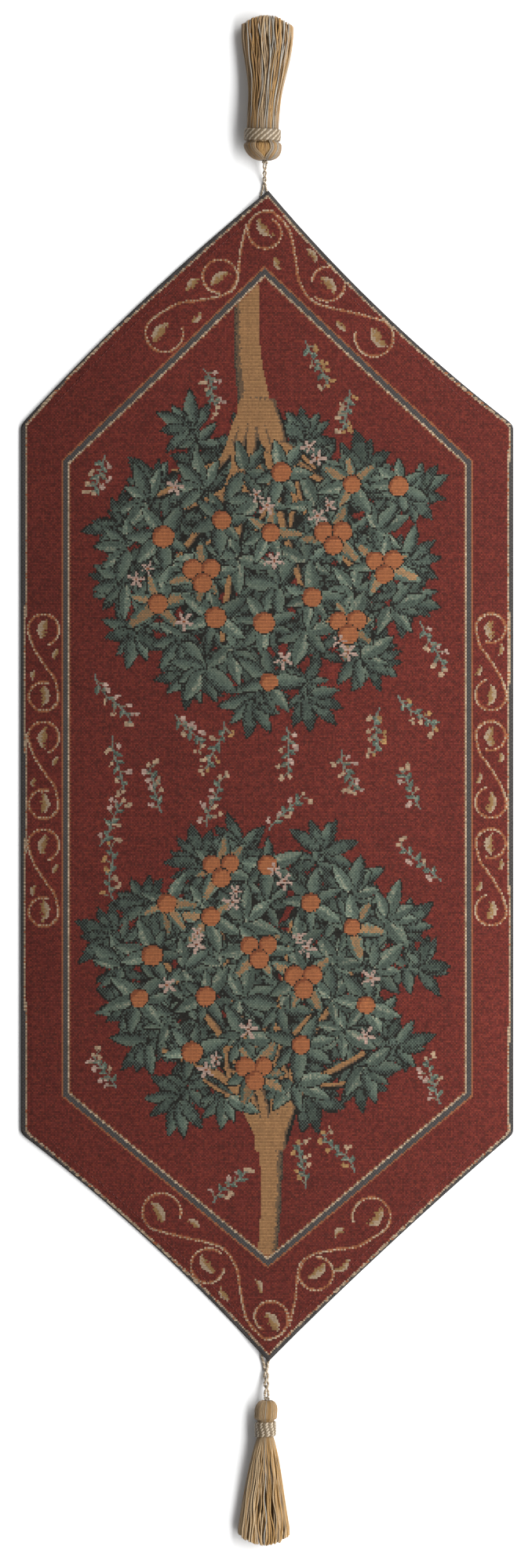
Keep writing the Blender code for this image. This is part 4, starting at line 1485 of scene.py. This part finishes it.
    def add(self, bundle, name, finish, slot, node, mesh_name):
        name, node, mesh_name = (f"{self.where}_{part}" for part in (name, node, mesh_name))
        add_yarns(mesh_name, bundle, name, finish, self.where + "_tassel", slot, node)

    def make_strands(self):
        """Continuous yarns from crown to hem, and a second layer in the skirt."""
        look = self.look
        mix = look["shades"], look["shares"]
        start = LIP_BEHIND_KNOT + 0.2 * MM
        outer = self.layer(look["strands"], start, 0.0, *mix, STATIONS, 0.62)
        count = look["strands"] * 2 // 3
        second = self.layer(count, self.skirt - 2 * MM, 1.1 * MM, *mix, 56, 0.60, offset=0.5)
        bundle = joined(outer, second)
        self.add(bundle, "tassel_strands", YARN_FINISH, "tassel_yarn", "tassel_yarn", "yarn")

    def make_core(self):
        """Thick rings of yarn inside the skirt, and a dome of them under a parted head."""
        bundles = []
        for further, count in ((0.0, 34), (2.2, 20), (4.2, 9)):
            inset = self.look["core_inset"] + further * MM
            inset = min(inset, 0.8 * self.sizes["neck_height"] / 2)
            golds = ("gold", "brown"), (0.6, 0.4)
            bundles.append(self.layer(count, self.skirt - 2 * MM, inset, *golds, 30, 0.62))
        if self.look["parting"]:
            count = 26
            angle = np.linspace(0.18, 0.82, count)[:, None] * np.pi
            d = np.linspace(LIP_BEHIND_KNOT + 1.2 * MM, self.head + 3 * MM, 26)[None] + 0 * angle
            bulge = np.sin(np.pi * np.clip(d / self.head - 0.1, 0, 1))
            inset = 2.4 * MM - 1.2 * MM * bulge
            wobble = 0.012 * np.sin(d * 900 + self.rng.uniform(0, 6, (count, 1)))
            paths = self.places(angle + wobble, d, inset)
            shades = self.shades(count, ("gold", "honey", "brown"), (0.55, 0.25, 0.2))
            shadow = 1 - 0.45 * smooth((d - 0.78 * self.head) / (0.3 * self.head))
            shades = finish_of(shades, YARN_LEVEL)[:, None] * shadow[..., None]
            phase = self.rng.uniform(0, 6.3, count)
            dome = yarns(
                paths, 0.62 * MM, shades, sides=7, pitch=2.2 * MM, groove=0.34, phase=phase
            )
            bundles.append(dome)
        self.add(joined(*bundles), "core_strands", CORE_FINISH, "core_yarn", "tassel_core", "core")

    def make_binding(self):
        """One two-ply cord wound round the neck, with its ends tucked in underneath."""
        look, rows = self.look, self.look["binding_rows"]
        spacing = self.binding / rows
        start, stop = self.head + 0.5 * spacing, self.skirt - 0.5 * spacing
        around = np.linspace(0, 2 * np.pi * rows, rows * 110)
        d = start + (stop - start) * around / around[-1]
        x, z = centre_of(self.sizes, d)
        barrel = 0.35 * MM * np.sin(np.pi * (d - self.head) / self.binding)
        rest = BINDING_THICKNESS * 0.9 + barrel
        c, s = np.cos(around - 0.5 * np.pi), np.sin(around - 0.5 * np.pi)
        width, height = (self.sizes["neck_" + way] / 2 + rest for way in ("width", "height"))
        z = np.maximum(z + height * s, BINDING_THICKNESS + 0.1 * MM)
        path = np.stack([x + width * c, self.crown_y + self.sign * d, z], 1)
        radius = spacing * 0.56
        bundle = yarns(
            path[None], radius, finish_of(look["binding_shade"], YARN_LEVEL), sides=18,
            pitch=look["binding_twist"], groove=0.45, contrast=0.8, second=look["binding_second"],
            flat=(1.0, BINDING_THICKNESS / radius), up=np.stack([c, 0 * c, s], 1)[None],
        )
        self.add(bundle, "binding_cord", BINDING_FINISH, "binding_yarn", "neck_binding", "binding")


# ---------------------------------------------------------------- the making

make_camera()
CORD_FINISH = yarn_material("twisted_cord", 0.60, 0.15)
TACK_FINISH = yarn_material("tack_thread", 0.65, 0.1)
YARN_FINISH = yarn_material("tassel_yarn_finish", 0.55, 0.08)
CORE_FINISH = yarn_material("core_yarn_finish", 0.65, 0.08)
BINDING_FINISH = yarn_material("binding_finish", 0.50, 0.08)
make_cord("top", TOP, TIP_TOP, 1, 3.0)
make_cord("bottom", BOTTOM, TIP_BOTTOM, -1, 3.0)

woven, woven_flat, woven_mesh = make_face()
lining, lining_mesh = make_lining()
make_stitches()
sheet_area(woven_mesh)
sheet_area(lining_mesh)

TOP_LOOK = {
    "seed": 12, "strands": 104, "clump": 0.03, "clumps": 9, "parting": 0.42,
    "hem_drop": 7.0 * MM, "hem_tilt": 1.0 * MM, "core_inset": 3.2 * MM,
    "shades": ("gold", "taupe", "silver", "brown", "honey", "straw"),
    "shares": (0.30, 0.20, 0.07, 0.20, 0.13, 0.10),
    "binding_rows": 4, "binding_twist": 4.2 * MM,
    "binding_shade": (176, 160, 137), "binding_second": (0.42, 0.36, 0.28),
}
BOTTOM_LOOK = {
    "seed": 23, "strands": 92, "clump": 0.05, "clumps": 11, "parting": 0.0,
    "hem_drop": 7.5 * MM, "hem_tilt": -0.6 * MM, "core_inset": 3.0 * MM,
    "shades": ("gold", "taupe", "silver", "honey", "straw"),
    "shares": (0.26, 0.22, 0.06, 0.22, 0.24),
    "binding_rows": 5, "binding_twist": 3.8 * MM,
    "binding_shade": (184, 168, 145), "binding_second": (0.36, 0.31, 0.24),
}
for tassel in (
    Tassel("top", TOP, TIP_TOP, 1, TOP_LOOK),
    Tassel("bottom", BOTTOM, TIP_BOTTOM, -1, BOTTOM_LOOK),
):
    tassel.make_strands()
    tassel.make_core()
    tassel.make_binding()
make_stage()
